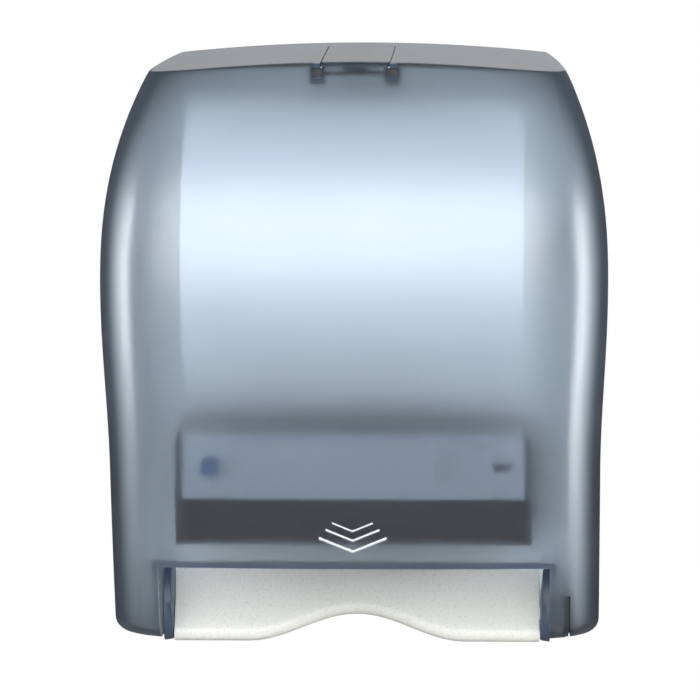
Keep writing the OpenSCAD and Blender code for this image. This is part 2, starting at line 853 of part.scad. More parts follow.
module motor() {
    end_boss_d = motor_d / 2;
    end_boss_l = 4;
    bore_l = shaft_in_motor + 2;
    color(steel) difference() {
        union() {
            bar_x(side_in - motor_l, -pinion_y, drive_z, motor_d, motor_l);
            bar_x(side_in - motor_l - end_boss_l, -pinion_y, drive_z, end_boss_d, end_boss_l + over);
        }
        bar_x(side_in - bore_l, -pinion_y, drive_z, motor_shaft_d + 2 * run_fit, bore_l + over);
    }
}

module gear_guard() {
    rim = 3;
    reach = pitch_r(drive_teeth) + rim;
    color(black_plastic) union() {
        bar_x(guard_x, -drive_y, drive_z, 2 * reach, guard_t);
        box([guard_x, -drive_y, drive_z - reach], [guard_x + guard_t, -pinion_y, drive_z + reach]);
        bar_x(guard_x, -pinion_y, drive_z, 2 * (pitch_r(pinion_teeth) + rim), guard_t);
    }
}

// Rollers: a shaft with three rubber sleeves
shaft_out = 1;
module sleeves(y, d, shaft_d) {
    for (i = [-1, 0, 1]) difference() {
        bar_x(i * sleeve_pitch - sleeve_l / 2, -y, drive_z, d, sleeve_l);
        bar_x(i * sleeve_pitch - sleeve_l / 2 - over, -y, drive_z, shaft_d, sleeve_l + 2 * over);
    }
}
module drive_shaft() {
    start = -side_out - shaft_out;
    color(steel) bar_x(start, -drive_y, drive_z, drive_shaft_d, gear_x + gear_w - start);
}
module drive_sleeves() {
    color(rubber_grey) sleeves(drive_y, drive_d, drive_shaft_d);
}
// The pinch shaft stays short of the drive gear
pinch_out = 0.4;
module pinch_shaft() {
    start = -side_out - pinch_out;
    color(steel) bar_x(start, -pinch_y, drive_z, pinch_shaft_d, -2 * start);
}
module pinch_sleeves() {
    color(rubber_grey) sleeves(pinch_y, pinch_d, pinch_shaft_d);
}

module shaft_bushes() {
    flange = 1;
    flange_lip = 1.5;
    color(bronze) both_sides() difference() {
        union() {
            bar_x(side_in, -drive_y, drive_z, bush_d, side_t);
            bar_x(side_in - flange, -drive_y, drive_z, bush_d + 2 * flange_lip, flange);
        }
        bar_x(side_in - flange - over, -drive_y, drive_z, drive_shaft_d + 2 * run_fit,
            side_t + flange + 2 * over);
    }
}

// Leaf springs that press on the pinch shaft, each held by a foot on its side plate
module pinch_springs() {
    leaf_w = 5;
    leaf_t = 0.8;
    leaf_y = -(pinch_y + pinch_shaft_d / 2 + play);
    leaf_below = 8;
    leaf_above = 18;
    leaf_low = drive_z - leaf_below;
    leaf_top = drive_z + leaf_above;
    foot_h = 8;
    color(steel) both_sides() union() {
        box([side_in - leaf_w, leaf_y - leaf_t, leaf_low], [side_in - play, leaf_y, leaf_top]);
        box([side_in - leaf_w, leaf_y - leaf_t, leaf_top - foot_h], [side_in, leaf_y, leaf_top]);
    }
}

// Module housing: a battery bay between two small compartments
inner_front = module_front - module_wall;
switch_h = 4;
module module_housing() {
    inner_rear = module_rear + module_wall;
    slot_half = switch_w / 2 + switch_travel + play;
    rail_start = -door_half - door_play;
    rail_end = door_half + door_play + door_slide;
    rail_y = -module_front - door_t - 2 * door_play;
    color(granite) difference() {
        union() {
            box([-module_half, -module_front, module_low], [module_half, -module_rear, deck_z]);
            for (top = [0, 1]) translate([0, 0, module_mid_z]) mirror([0, 0, top]) {
                box([rail_start, rail_y, -module_h / 2], [rail_end, -module_front, -module_h / 2 + rail_t]);
                box([rail_start, rail_y - rail_t, -module_h / 2],
                    [rail_end, rail_y, -module_h / 2 + rail_t + rail_lip]);
            }
        }
        box([-bay_half, -module_front - over, module_low + module_wall],
            [bay_half, -inner_rear, deck_z - module_wall]);
        both_sides() box([bay_half + module_wall, -inner_front, module_low + module_wall],
            [module_half - module_wall, -inner_rear, deck_z - module_wall]);
        bar_y(button_x, -inner_front + over, module_mid_z, button_d + 2 * button_fit, module_wall + 2 * over);
        translate([switch_x, 0, module_mid_z])
            box([-slot_half, -module_front - over, -switch_h / 2 - play],
                [slot_half, -inner_front + over, switch_h / 2 + play]);
    }
}

module d_cells() {
    tip_d = cell_d * 0.3;
    tip_l = 1.5;
    rear = module_rear + module_wall + contact_t;
    color([0.78, 0.72, 0.45]) for (i = [0:3]) translate([(i - 1.5) * cell_pitch, 0, module_mid_z]) {
        bar_y(0, -rear - (i % 2) * tip_l, 0, cell_d, cell_l - tip_l);
        bar_y(0, -rear - (1 - i % 2) * (cell_l - tip_l), 0, tip_d, tip_l);
    }
}

// Contacts: a bridge behind each pair of cells and a terminal at each end of the row
module battery_contacts() {
    rear = module_rear + module_wall;
    bridge_half = cell_d * 0.75;
    tall = cell_d * 0.6;
    terminal_half = 5;
    terminal_in = cell_pitch * 1.5 - terminal_half;
    terminal_y = inner_front - contact_t;
    color(steel) both_sides() {
        box([cell_pitch - bridge_half, -rear - contact_t, module_mid_z - tall / 2],
            [cell_pitch + bridge_half, -rear, module_mid_z + tall / 2]);
        box([terminal_in, -terminal_y - contact_t, module_mid_z - terminal_half],
            [bay_half, -terminal_y, module_mid_z + terminal_half]);
    }
}

module battery_door() {
    half_h = module_h / 2 - rail_t - door_play;
    door_y = -module_front - door_t - door_play;
    grip_n = 4;
    grip_pitch = 4;
    grip_w = 1.5;
    grip_h = 0.8;
    grip_x = door_half - (grip_n + 1) * grip_pitch;
    color(granite) translate([0, 0, module_mid_z]) union() {
        box([-door_half, door_y, -half_h], [door_half, -module_front - door_play, half_h]);
        for (i = [0:grip_n - 1])
            box([grip_x + i * grip_pitch, door_y - grip_h, -half_h / 2],
                [grip_x + i * grip_pitch + grip_w, door_y + door_t / 2, half_h / 2]);
    }
}

module door_contact() {
    half_x = cell_d * 0.8;
    half_z = cell_d / 4;
    color(steel) box([-half_x, -module_front - door_play, module_mid_z - half_z],
        [half_x, -inner_front + 2 * play, module_mid_z + half_z]);
}

module feed_button() {
    stand = 3;
    back_y = -inner_front + play + button_flange;
    color([0.30, 0.42, 0.55]) union() {
        bar_y(button_x, back_y, module_mid_z, button_d, back_y + module_front + stand);
        bar_y(button_x, back_y, module_mid_z, button_d + 2 * button_flange, button_flange);
    }
}

module length_switch() {
    stand = 2.5;
    foot_half = 5;
    foot_t = 1.5;
    foot_y = -inner_front + play;
    color(black_plastic) translate([switch_x, 0, module_mid_z]) union() {
        box([-switch_w / 2, -module_front - stand, -switch_h / 2],
            [switch_w / 2, foot_y + foot_t / 2, switch_h / 2]);
        box([-foot_half, foot_y, -foot_half], [foot_half, foot_y + foot_t, foot_half]);
    }
}

// Control board with the key under the feed button, and one chip
module control_board() {
    half_x = (module_half - bay_half) / 2 - module_wall - play;
    half_z = module_h / 2 - module_wall;
    key_half = 3;
    key_y = inner_front - play - button_flange - button_travel - play;
    chip = [10, 2, 16];
    chip_y = -board_y + board_t;
    color(board_green) translate([button_x, 0, module_mid_z]) union() {
        box([-half_x, -board_y, -half_z], [half_x, chip_y, half_z]);
        box([-key_half, -key_y, -key_half], [key_half, -board_y, key_half]);
        box([-chip[0] / 2, chip_y, -chip[2] / 2], [chip[0] / 2, chip_y + chip[1], chip[2] / 2]);
    }
}

module sensor_lens() {
    color([0.08, 0.03, 0.05]) box([-lens_w / 2, -lens_y - lens_l / 2, shelf_z],
        [lens_w / 2, -lens_y + lens_l / 2, shelf_z + shelf_t]);
}

module sensor_board() {
    margin = 4;
    eye = [12, 8, 3];
    half = [lens_w / 2 + margin, lens_l / 2 + margin];
    color(board_green) translate([0, -lens_y, shelf_z + shelf_t]) union() {
        box([-half[0], -half[1], 0], [half[0], half[1], board_t]);
        box([-eye[0] / 2, -eye[1] / 2, board_t], [eye[0] / 2, eye[1] / 2, board_t + eye[2]]);
    }
}

back_plate();
chassis();
chute_nose();
throat_guide();
tear_bar();
tear_bar_screws();
module_housing();
d_cells();
battery_contacts();
control_board();
sensor_lens();
sensor_board();
motor();
idler_pin();
gear_guard();
pinch_springs();
shaft_bushes();
hinge_pins();
arm_pins();
chassis_screws();
paper_web();
front_cover();
hinge_lugs();
latch_tab();
left_arm();
right_arm();
left_hub();
right_hub();
roll_core();
paper_roll();
drive_shaft();
drive_sleeves();
drive_gear();
pinch_shaft();
pinch_sleeves();
idler_gear();
motor_pinion();
feed_button();
length_switch();
battery_door();
door_contact();
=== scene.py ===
# %% [markdown]
# # A wall-mounted automatic roll towel dispenser
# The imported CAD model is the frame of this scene: each piece of it already sits where it
# belongs, in metres, with the wall at y = 0, the front towards -Y and Z up.
# This lesson puts light and camera in place, makes the finishes, and then rebuilds the pieces
# whose surfaces need more than CAD gives: the see-through cover, the chute, the roll.

# %% Load the frame
import json
import math
import bmesh
import bpy
import numpy as np
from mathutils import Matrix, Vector


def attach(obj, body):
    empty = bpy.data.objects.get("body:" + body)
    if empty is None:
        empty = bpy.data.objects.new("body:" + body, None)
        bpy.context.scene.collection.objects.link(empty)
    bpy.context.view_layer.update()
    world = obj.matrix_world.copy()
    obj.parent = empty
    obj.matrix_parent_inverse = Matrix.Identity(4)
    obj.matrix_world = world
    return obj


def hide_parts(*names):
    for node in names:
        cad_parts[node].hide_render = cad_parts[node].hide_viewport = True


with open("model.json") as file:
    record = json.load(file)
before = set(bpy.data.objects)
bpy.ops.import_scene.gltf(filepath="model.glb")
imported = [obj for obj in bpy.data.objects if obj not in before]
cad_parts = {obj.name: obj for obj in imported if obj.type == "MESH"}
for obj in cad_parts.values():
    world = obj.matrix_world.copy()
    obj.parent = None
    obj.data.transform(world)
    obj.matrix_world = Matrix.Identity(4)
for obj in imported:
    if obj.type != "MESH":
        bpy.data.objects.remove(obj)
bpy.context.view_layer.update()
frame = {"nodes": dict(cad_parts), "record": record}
scene = bpy.context.scene

# %% [markdown]
# ## Camera
# The photograph is taken from almost straight ahead with a long lens, a little from the right
# and a little from above. A long lens keeps both sides of the cover nearly parallel.
# The picture is square, so the sensor's width is the width of the picture.

# %% Place the camera
PICTURE_PX = 700
PX_PER_M = 1640.0           # scale of the picture at the middle of the object
CAMERA_DISTANCE = 2.8
CAMERA_AZIMUTH = math.radians(2.2)
CAMERA_ELEVATION = math.radians(4.0)
MIDDLE_PX = (358.0, 342.0)  # where the point below appears in the picture
MIDDLE = Vector((0.0, -0.115, 0.0))

to_camera = Vector((
    math.sin(CAMERA_AZIMUTH) * math.cos(CAMERA_ELEVATION),
    -math.cos(CAMERA_AZIMUTH) * math.cos(CAMERA_ELEVATION),
    math.sin(CAMERA_ELEVATION)))
turn = (-to_camera).to_track_quat("-Z", "Y")
picture_right, picture_up = turn @ Vector((1, 0, 0)), turn @ Vector((0, 1, 0))
aim = (MIDDLE + picture_right * (PICTURE_PX / 2 - MIDDLE_PX[0]) / PX_PER_M
       - picture_up * (PICTURE_PX / 2 - MIDDLE_PX[1]) / PX_PER_M)

camera = bpy.data.objects.new("camera", bpy.data.cameras.new("camera"))
scene.collection.objects.link(camera)
camera.location = aim + to_camera * CAMERA_DISTANCE
camera.rotation_mode = "QUATERNION"
camera.rotation_quaternion = turn
camera.data.sensor_width = 36.0
camera.data.lens = 36.0 * CAMERA_DISTANCE / (PICTURE_PX / PX_PER_M)
camera.data.clip_end = 50.0
scene.camera = camera
scene.view_settings.view_transform = "Standard"
print("lens", round(camera.data.lens, 1), "mm")

# %% [markdown]
# ## Room and lamps
# The object hangs in front of a white studio background. The world is white for the rays that
# the eye, a mirror or glass sends straight back to it, and dim for the rays that light the
# object. Away from the backdrop the room is dim for reflections too, as in a real studio: that is
# what draws the dark outline of a glossy see-through piece.
# The floor glows for the eye alone, so that it doesn't mirror in the cover, and can't be seen from
# below. One wide soft lamp above the camera lights the roll through the cover, and two tall strips
# draw the long highlights down the rounded corners. Two lamps stand behind: a weak one whose
# reflection lies on the sloping top, and one without a reflection for the wall side.

# %% Node helpers
def add_node(tree, kind, **settings):
    """Adds a node; settings with an upper-case first letter are inputs, the rest are attributes."""
    node = tree.nodes.new(kind)
    for name, value in settings.items():
        if name[0].isupper():
            node.inputs[name.replace("_", " ")].default_value = value
        else:
            setattr(node, name, value)
    return node


def link(tree, source, target):
    tree.links.new(source, target)


def maths(tree, operation, first, second):
    """A Math node; each operand is a number or an output socket."""
    node = add_node(tree, "ShaderNodeMath", operation=operation)
    for socket, value in zip(node.inputs, (first, second)):
        if isinstance(value, (int, float)):
            socket.default_value = value
        else:
            link(tree, value, socket)
    return node.outputs[0]


def spread(tree, value, low, high):
    """0 where value is low and 1 where it is high, with soft ends; low may be the larger one."""
    node = add_node(tree, "ShaderNodeMapRange", interpolation_type="SMOOTHSTEP")
    node.inputs["From Min"].default_value = low
    node.inputs["From Max"].default_value = high
    link(tree, value, node.inputs["Value"])
    return node.outputs["Result"]


def seen_directly(tree):
    """1 for rays from the eye, and 1 for rays off a mirror or through glass that met no matt surface."""
    path = add_node(tree, "ShaderNodeLightPath")
    either = maths(tree, "MAXIMUM", path.outputs["Is Glossy Ray"], path.outputs["Is Transmission Ray"])
    clean = maths(tree, "LESS_THAN", path.outputs["Diffuse Depth"], 0.5)
    return path.outputs["Is Camera Ray"], maths(tree, "MULTIPLY", either, clean)


# %% White world, dimmer for the light that it gives
AMBIENT = 0.10                              # light that the world gives
ROOM = 0.10                                 # what reflections see beside the backdrop
world = bpy.data.worlds.new("studio")
world.use_nodes = True
scene.world = world
tree = world.node_tree
background = tree.nodes["Background"]
background.inputs["Color"].default_value = (1, 1, 1, 1)
by_eye, by_gloss = seen_directly(tree)
heading = add_node(tree, "ShaderNodeSeparateXYZ")
link(tree, add_node(tree, "ShaderNodeTexCoord").outputs["Generated"], heading.inputs[0])
aside = maths(tree, "ABSOLUTE", heading.outputs["X"], 0.0)
behind = spread(tree, heading.outputs["Y"], 0.80, 0.95)
backdrop = maths(tree, "MULTIPLY", behind, spread(tree, aside, 0.22, 0.07))
room = maths(tree, "MAXIMUM", backdrop, ROOM)
seen = maths(tree, "MAXIMUM", by_eye, maths(tree, "MULTIPLY", by_gloss, room))
link(tree, maths(tree, "MAXIMUM", seen, AMBIENT), background.inputs["Strength"])
print("world light", AMBIENT)

# %% Pale floor that keeps the shadow
FLOOR_Z, FLOOR_GLOW, GLOW_SHARE = -0.80, 1.02, 0.985
bpy.ops.mesh.primitive_plane_add(size=14.0, location=(0, 0, FLOOR_Z))
floor = bpy.context.object
floor.name = "floor"
floor_paint = bpy.data.materials.new("floor_paint")
floor_paint.use_nodes = True
tree = floor_paint.node_tree
tree.nodes.clear()
paint = add_node(tree, "ShaderNodeBsdfDiffuse", Color=(0.30, 0.30, 0.30, 1))
glow = add_node(tree, "ShaderNodeEmission", Color=(1, 1, 1, 1), Strength=FLOOR_GLOW)
mix = add_node(tree, "ShaderNodeMixShader")
out = add_node(tree, "ShaderNodeOutputMaterial")
link(tree, maths(tree, "MULTIPLY", seen_directly(tree)[0], GLOW_SHARE), mix.inputs[0])
link(tree, paint.outputs[0], mix.inputs[1])
link(tree, glow.outputs[0], mix.inputs[2])
one_way = add_node(tree, "ShaderNodeMixShader")
link(tree, add_node(tree, "ShaderNodeNewGeometry").outputs["Backfacing"], one_way.inputs[0])
link(tree, mix.outputs[0], one_way.inputs[1])
link(tree, add_node(tree, "ShaderNodeBsdfTransparent").outputs[0], one_way.inputs[2])
link(tree, one_way.outputs[0], out.inputs["Surface"])
floor.data.materials.append(floor_paint)
print("floor at", FLOOR_Z)

# %% Lamps
def soft_lamp(name, place, target, width, height, watts):
    lamp = bpy.data.lights.new(name, "AREA")
    lamp.shape = "RECTANGLE"
    lamp.size, lamp.size_y = width, height
    lamp.energy = watts
    holder = bpy.data.objects.new(name, lamp)
    scene.collection.objects.link(holder)
    holder.location = place
    direction = Vector(target) - Vector(place)
    holder.rotation_euler = direction.to_track_quat("-Z", "Y").to_euler()
    return holder


soft_lamp("key", (-0.1, -1.9, 0.70), (0, -0.1, 0.02), 1.9, 1.7, 45.0)
soft_lamp("left_strip", (-1.44, -0.48, 0.15), (0, -0.1, 0.0), 0.30, 1.3, 19.0)
soft_lamp("right_strip", (1.44, -0.48, 0.0), (0, -0.1, 0.0), 0.30, 1.5, 21.0)
top_fill = soft_lamp("top_fill", (0.0, 1.7, 0.75), (0, -0.1, 0.18), 1.4, 0.6, 3.8)
top_fill.visible_transmission = False
back_fill = soft_lamp("back_fill", (0.4, 1.8, 0.05), (0, 0, 0.0), 1.2, 1.2, 17.0)
back_fill.visible_glossy = back_fill.visible_transmission = False

# %% [markdown]
# ## Surface effects
# Four effects come back in several finishes, so each is a node group that is built once: the
# fine grain of a mould, the speckle of stone-look plastic, the streaks of drawn metal and the
# fibres of paper. A group only puts out masks and heights; each material mixes them into its
# own colour, roughness and bump. All of them read object coordinates in metres, so a scale of
# 1000 gives details of about a millimetre on every piece.

# %% Start of a group
def new_group(name, inputs, outputs):
    group = bpy.data.node_groups.new(name, "ShaderNodeTree")
    for label, value in inputs.items():
        socket = group.interface.new_socket(label, in_out="INPUT", socket_type="NodeSocketFloat")
        socket.default_value = value
    for label in outputs:
        group.interface.new_socket(label, in_out="OUTPUT", socket_type="NodeSocketFloat")
    start = add_node(group, "NodeGroupInput")
    end = add_node(group, "NodeGroupOutput")
    place = add_node(group, "ShaderNodeTexCoord").outputs["Object"]
    return group, start.outputs, end.inputs, place


def noise(tree, place, scale, detail=2.0, roughness=0.5):
    """Noise between 0 and 1; scale is a number or a socket."""
    node = add_node(tree, "ShaderNodeTexNoise", Detail=detail, Roughness=roughness)
    link(tree, place, node.inputs["Vector"])
    if isinstance(scale, (int, float)):
        node.inputs["Scale"].default_value = scale
    else:
        link(tree, scale, node.inputs["Scale"])
    return node.outputs["Fac"]


# %% Moulded grain
moulded, start, end, place = new_group("moulded_grain", {"Scale": 1600.0}, ["Height", "Cloud", "Scuff"])
link(moulded, noise(moulded, place, start["Scale"], 3.0), end["Height"])
link(moulded, noise(moulded, place, 22.0, 3.0, 0.6), end["Cloud"])
stretch = add_node(moulded, "ShaderNodeMapping")
stretch.inputs["Scale"].default_value = (60.0, 60.0, 900.0)
stretch.inputs["Rotation"].default_value = (0.3, 0.5, 0.2)
link(moulded, place, stretch.inputs["Vector"])
link(moulded, spread(moulded, noise(moulded, stretch.outputs[0], 1.0, 2.0), 0.60, 0.72), end["Scuff"])
print("group", moulded.name)

# %% Speckle
speckle, start, end, place = new_group("speckle", {"Scale": 900.0}, ["Dark", "Light"])
link(speckle, spread(speckle, noise(speckle, place, start["Scale"], 1.0), 0.60, 0.68), end["Dark"])
other = maths(speckle, "MULTIPLY", start["Scale"], 1.7)
link(speckle, spread(speckle, noise(speckle, place, other, 1.0), 0.62, 0.70), end["Light"])
print("group", speckle.name)

# %% Drawn metal
drawn, start, end, place = new_group("drawn_metal", {"Scale": 1.0}, ["Streak", "Cloud"])
stretch = add_node(drawn, "ShaderNodeMapping")
stretch.inputs["Scale"].default_value = (40.0, 2600.0, 2600.0)
link(drawn, place, stretch.inputs["Vector"])
link(drawn, noise(drawn, stretch.outputs[0], start["Scale"], 2.0), end["Streak"])
link(drawn, noise(drawn, place, 60.0, 3.0), end["Cloud"])
print("group", drawn.name)

# %% Paper fibres with an embossed dot
fibre, start, end, place = new_group("fibre", {"Scale": 700.0, "Dot Pitch": 260.0}, ["Height", "Tone"])
threads = noise(fibre, place, start["Scale"], 4.0, 0.65)
dots = add_node(fibre, "ShaderNodeTexVoronoi", feature="F1", Randomness=0.15)
link(fibre, place, dots.inputs["Vector"])
link(fibre, start["Dot Pitch"], dots.inputs["Scale"])
pressed = spread(fibre, dots.outputs["Distance"], 0.18, 0.42)
link(fibre, maths(fibre, "ADD", maths(fibre, "MULTIPLY", threads, 0.6), pressed), end["Height"])
link(fibre, noise(fibre, place, 35.0, 4.0, 0.6), end["Tone"])
print("group", fibre.name)

# %% [markdown]
# ## Finishes
# Every material slot of the record gets one finish. They share the same start: a Principled
# shader whose base colour is a mix of two close tones, whose roughness wanders a little, and
# whose normal comes from a bump. What differs is which group drives them.

# %% Helpers for the finishes
finishes = {}


def start_finish(name, roughness, **settings):
    """An empty material with a Principled shader; settings go to its own sockets."""
    material = bpy.data.materials.new(name)
    material.use_nodes = True
    shader = material.node_tree.nodes["Principled BSDF"]
    shader.inputs["Roughness"].default_value = roughness
    for label, value in settings.items():
        shader.inputs[label.replace("_", " ")].default_value = value
    finishes[name] = material
    return material.node_tree, shader


def use_group(tree, group, **settings):
    node = add_node(tree, "ShaderNodeGroup", node_tree=group)
    for label, value in settings.items():
        node.inputs[label.replace("_", " ")].default_value = value
    return node.outputs


def tone(tree, mask, low, high):
    """A colour between low and high; each is an (r, g, b) or a colour socket."""
    node = add_node(tree, "ShaderNodeMix", data_type="RGBA")
    link(tree, mask, node.inputs["Factor"])
    for socket, colour in ((node.inputs[6], low), (node.inputs[7], high)):
        if isinstance(colour, tuple):
            socket.default_value = (*colour, 1.0)
        else:
            link(tree, colour, socket)
    return node.outputs[2]


def between(tree, mask, low, high):
    """A number that follows mask from low to high."""
    return maths(tree, "ADD", maths(tree, "MULTIPLY", mask, high - low), low)


def bump(tree, shader, height, strength, distance):
    node = add_node(tree, "ShaderNodeBump", Strength=strength, Distance=distance)
    link(tree, height, node.inputs["Height"])
    link(tree, node.outputs[0], shader.inputs["Normal"])


# %% Plain moulded plastics
def moulded_plastic(name, low, high, roughness, grain, depth):
    tree, shader = start_finish(name, roughness, IOR=1.5)
    fine = use_group(tree, moulded, Scale=grain)
    link(tree, tone(tree, fine["Cloud"], low, high), shader.inputs["Base Color"])
    worn = maths(tree, "ADD", between(tree, fine["Cloud"], roughness - 0.06, roughness + 0.06),
                 maths(tree, "MULTIPLY", fine["Scuff"], 0.08))
    link(tree, worn, shader.inputs["Roughness"])
    bump(tree, shader, fine["Height"], 0.35, depth)


moulded_plastic("black_plastic", (0.012, 0.013, 0.015), (0.024, 0.025, 0.028), 0.52, 1500.0, 0.0001)
moulded_plastic("hinge_blue", (0.052, 0.074, 0.118), (0.066, 0.092, 0.142), 0.34, 1800.0, 0.00006)
moulded_plastic("module_grey", (0.29, 0.30, 0.31), (0.35, 0.36, 0.37), 0.50, 1500.0, 0.00008)
moulded_plastic("nylon", (0.72, 0.70, 0.62), (0.80, 0.78, 0.71), 0.45, 1200.0, 0.00006)
moulded_plastic("roller_rubber", (0.012, 0.012, 0.013), (0.022, 0.022, 0.023), 0.78, 2200.0, 0.0002)
moulded_plastic("button_blue", (0.030, 0.075, 0.150), (0.040, 0.095, 0.185), 0.40, 1800.0, 0.00006)
moulded_plastic("sensor_window", (0.010, 0.003, 0.004), (0.018, 0.005, 0.007), 0.12, 2500.0, 0.00001)
print("plain plastics:", list(finishes))

# %% [markdown]
# The base and the chute are moulded in an off-white plastic with a fine stone-like speckle.
# The dark and light specks are two layers of the same group at different sizes.

# %% Speckled plastic
tree, shader = start_finish("granite", 0.42, IOR=1.5)
specks = use_group(tree, speckle, Scale=1250.0)
fine = use_group(tree, moulded, Scale=1700.0)
ground = tone(tree, fine["Cloud"], (0.83, 0.83, 0.765), (0.87, 0.87, 0.81))
dotted = tone(tree, specks["Dark"], ground, (0.68, 0.685, 0.63))
link(tree, tone(tree, specks["Light"], dotted, (0.86, 0.865, 0.83)), shader.inputs["Base Color"])
link(tree, between(tree, fine["Cloud"], 0.36, 0.48), shader.inputs["Roughness"])
bump(tree, shader, fine["Height"], 0.3, 0.00006)
print("speckled plastic ready")

# %% [markdown]
# Steel, bronze and the foil round the cells share the drawn streaks. On a metal the colour
# sits in Base Color and Metallic is a plain 1.

# %% Metals
def drawn_finish(name, low, high, roughness):
    tree, shader = start_finish(name, roughness, Metallic=1.0)
    lines = use_group(tree, drawn)
    link(tree, tone(tree, lines["Cloud"], low, high), shader.inputs["Base Color"])
    link(tree, between(tree, lines["Streak"], roughness - 0.1, roughness + 0.14), shader.inputs["Roughness"])
    bump(tree, shader, lines["Streak"], 0.15, 0.00003)


drawn_finish("steel", (0.50, 0.51, 0.53), (0.62, 0.63, 0.64), 0.32)
drawn_finish("bronze", (0.42, 0.27, 0.11), (0.54, 0.36, 0.17), 0.40)
drawn_finish("cell_jacket", (0.50, 0.38, 0.14), (0.60, 0.47, 0.20), 0.30)
print("metals ready")

# %% [markdown]
# Towel paper and the brown board of the core are both felted fibres. The towel also has small
# embossed dots; on the core the dots are so fine that only the fibres show.

# %% Paper and board
def felted(name, low, high, scale, dot_pitch, depth):
    tree, shader = start_finish(name, 0.9, Specular_IOR_Level=0.2)
    felt = use_group(tree, fibre, Scale=scale, Dot_Pitch=dot_pitch)
    link(tree, tone(tree, felt["Tone"], low, high), shader.inputs["Base Color"])
    link(tree, between(tree, felt["Tone"], 0.86, 0.94), shader.inputs["Roughness"])
    bump(tree, shader, felt["Height"], 0.5, depth)


felted("towel_paper", (0.76, 0.745, 0.70), (0.81, 0.795, 0.75), 800.0, 240.0, 0.00025)
felted("core_board", (0.24, 0.15, 0.08), (0.32, 0.21, 0.12), 500.0, 1500.0, 0.00015)
print("felted finishes ready")

# %% [markdown]
# The boards are green solder mask with pale copper tracks under it: a brick pattern gives the
# straight tracks, and the mask's gloss comes from a low roughness.

# %% Circuit board
tree, shader = start_finish("circuit_board", 0.25, IOR=1.5)
where = add_node(tree, "ShaderNodeTexCoord")
tracks = add_node(tree, "ShaderNodeTexBrick", Scale=140.0, offset=0.37)
tracks.inputs["Color1"].default_value = (0.010, 0.075, 0.028, 1)
tracks.inputs["Color2"].default_value = (0.014, 0.095, 0.036, 1)
tracks.inputs["Mortar"].default_value = (0.05, 0.20, 0.07, 1)
tracks.inputs["Mortar Size"].default_value = 0.025
swap = add_node(tree, "ShaderNodeSeparateXYZ")
join = add_node(tree, "ShaderNodeCombineXYZ")
link(tree, where.outputs["Object"], swap.inputs[0])
link(tree, swap.outputs["X"], join.inputs["X"])
link(tree, maths(tree, "ADD", swap.outputs["Y"], swap.outputs["Z"]), join.inputs["Y"])
link(tree, join.outputs[0], tracks.inputs["Vector"])
link(tree, tracks.outputs["Color"], shader.inputs["Base Color"])
bump(tree, shader, tracks.outputs["Fac"], 0.2, 0.00004)
print("board ready")

# %% [markdown]
# ## See-through cover plastic
# The cover is a clear plastic tinted slate blue, smooth and glossy outside and faintly frosted,
# so that what lies close behind it shows softly and what lies deeper melts away. Transmission
# with some roughness gives both. Seen at a slant, light goes a longer way through the wall, which
# deepens the tint a little; here it is made to run almost to black, a painted shade that draws the
# dark rim along the outline. The surface also blurs more there; Layer Weight tells how slanted the view is.
# A shader like this casts a full shadow in Cycles, so for shadow rays only it is swapped for a
# tinted Transparent shader, which lets the lamps reach the roll.

# %% Tinted plastic
COVER_TINT = (0.74, 0.83, 0.94)
COVER_SLANT_SHADE = (0.05, 0.075, 0.115)           # painted shade at a slant, much darker than the long way through the wall gives
COVER_SHADE = (0.29, 0.315, 0.355)          # what the wall lets through of a lamp
tree, shader = start_finish("cover_blue", 0.33, IOR=1.57, Transmission_Weight=1.0)
fine = use_group(tree, moulded, Scale=900.0)
darker = tuple(0.94 * c for c in COVER_TINT)
facing = add_node(tree, "ShaderNodeLayerWeight", Blend=0.5).outputs["Facing"]
slant = spread(tree, facing, 0.19, 0.60)
body_tint = tone(tree, fine["Cloud"], darker, COVER_TINT)
# Painted shade: at a slant the base colour runs to the near-black edge tint, which draws the dark rim along the
# outline.
link(tree, tone(tree, slant, body_tint, COVER_SLANT_SHADE), shader.inputs["Base Color"])
link(tree, between(tree, slant, 0.32, 0.46), shader.inputs["Roughness"])
bump(tree, shader, fine["Height"], 0.12, 0.00005)
clear = add_node(tree, "ShaderNodeBsdfTransparent")
clear.inputs["Color"].default_value = (*(c ** 0.5 for c in COVER_SHADE), 1)
switch = add_node(tree, "ShaderNodeMixShader")
link(tree, add_node(tree, "ShaderNodeLightPath").outputs["Is Shadow Ray"], switch.inputs[0])
link(tree, shader.outputs[0], switch.inputs[1])
link(tree, clear.outputs[0], switch.inputs[2])
link(tree, switch.outputs[0], tree.nodes["Material Output"].inputs["Surface"])
print("finishes:", sorted(finishes))

# %% Finish every CAD piece that stays
for part in frame["record"]["subparts"]:
    piece = frame["nodes"][part["node"]]
    piece.data.materials.clear()
    piece.data.materials.append(finishes[part["material_slot"]])

# %% [markdown]
# ## The cover
# On the real object the cover is one moulding, 3 mm thick all over: a bowed front, two sides, a
# crowned top that slopes to a crisp edge, and two closed legs with a lip between them.
# It could be a box with a subdivision surface, but then the legs and the slits would pull the
# curves about. Here only the outer skin is made, as grids of points on the real curves, and a
# Solidify modifier gives it its wall. Its cut edges get a dark opaque finish, because clear edges
# would catch the light as white lines. The measures are those of the CAD model, in millimetres.

# %% Outline of the cover at each height
MM = 0.001
HALF_WIDTH, DEPTH, TOP_Z, BULGE_Z = 151.0, 231.0, 182.0, 40.0
FOOT_Z, FOOT_R, LIP_Z, LIP_RETURN = -176.0, 10.0, -130.0, 14.0
REAR_Y, CORNER_R, WALL, CROWN_R = -14.0, 42.0, 3.0, 1100.0
BOW, SLOPE = math.radians(5.0), math.radians(4.5)
SIDE_IN, SIDE_POWER, FRONT_IN, FRONT_POWER = 33.0, 2.35, 80.0, 2.2     # at the top
SHOULDER_Z, SHOULDER_IN = 159.0, 17.0                                  # last turn of the sides
WAIST_IN, WAIST_BELOW = 4.0, 115.0                                     # below the widest place
FOOT_BACK, FOOT_POWER = 56.0, 1.8                                      # front at the feet


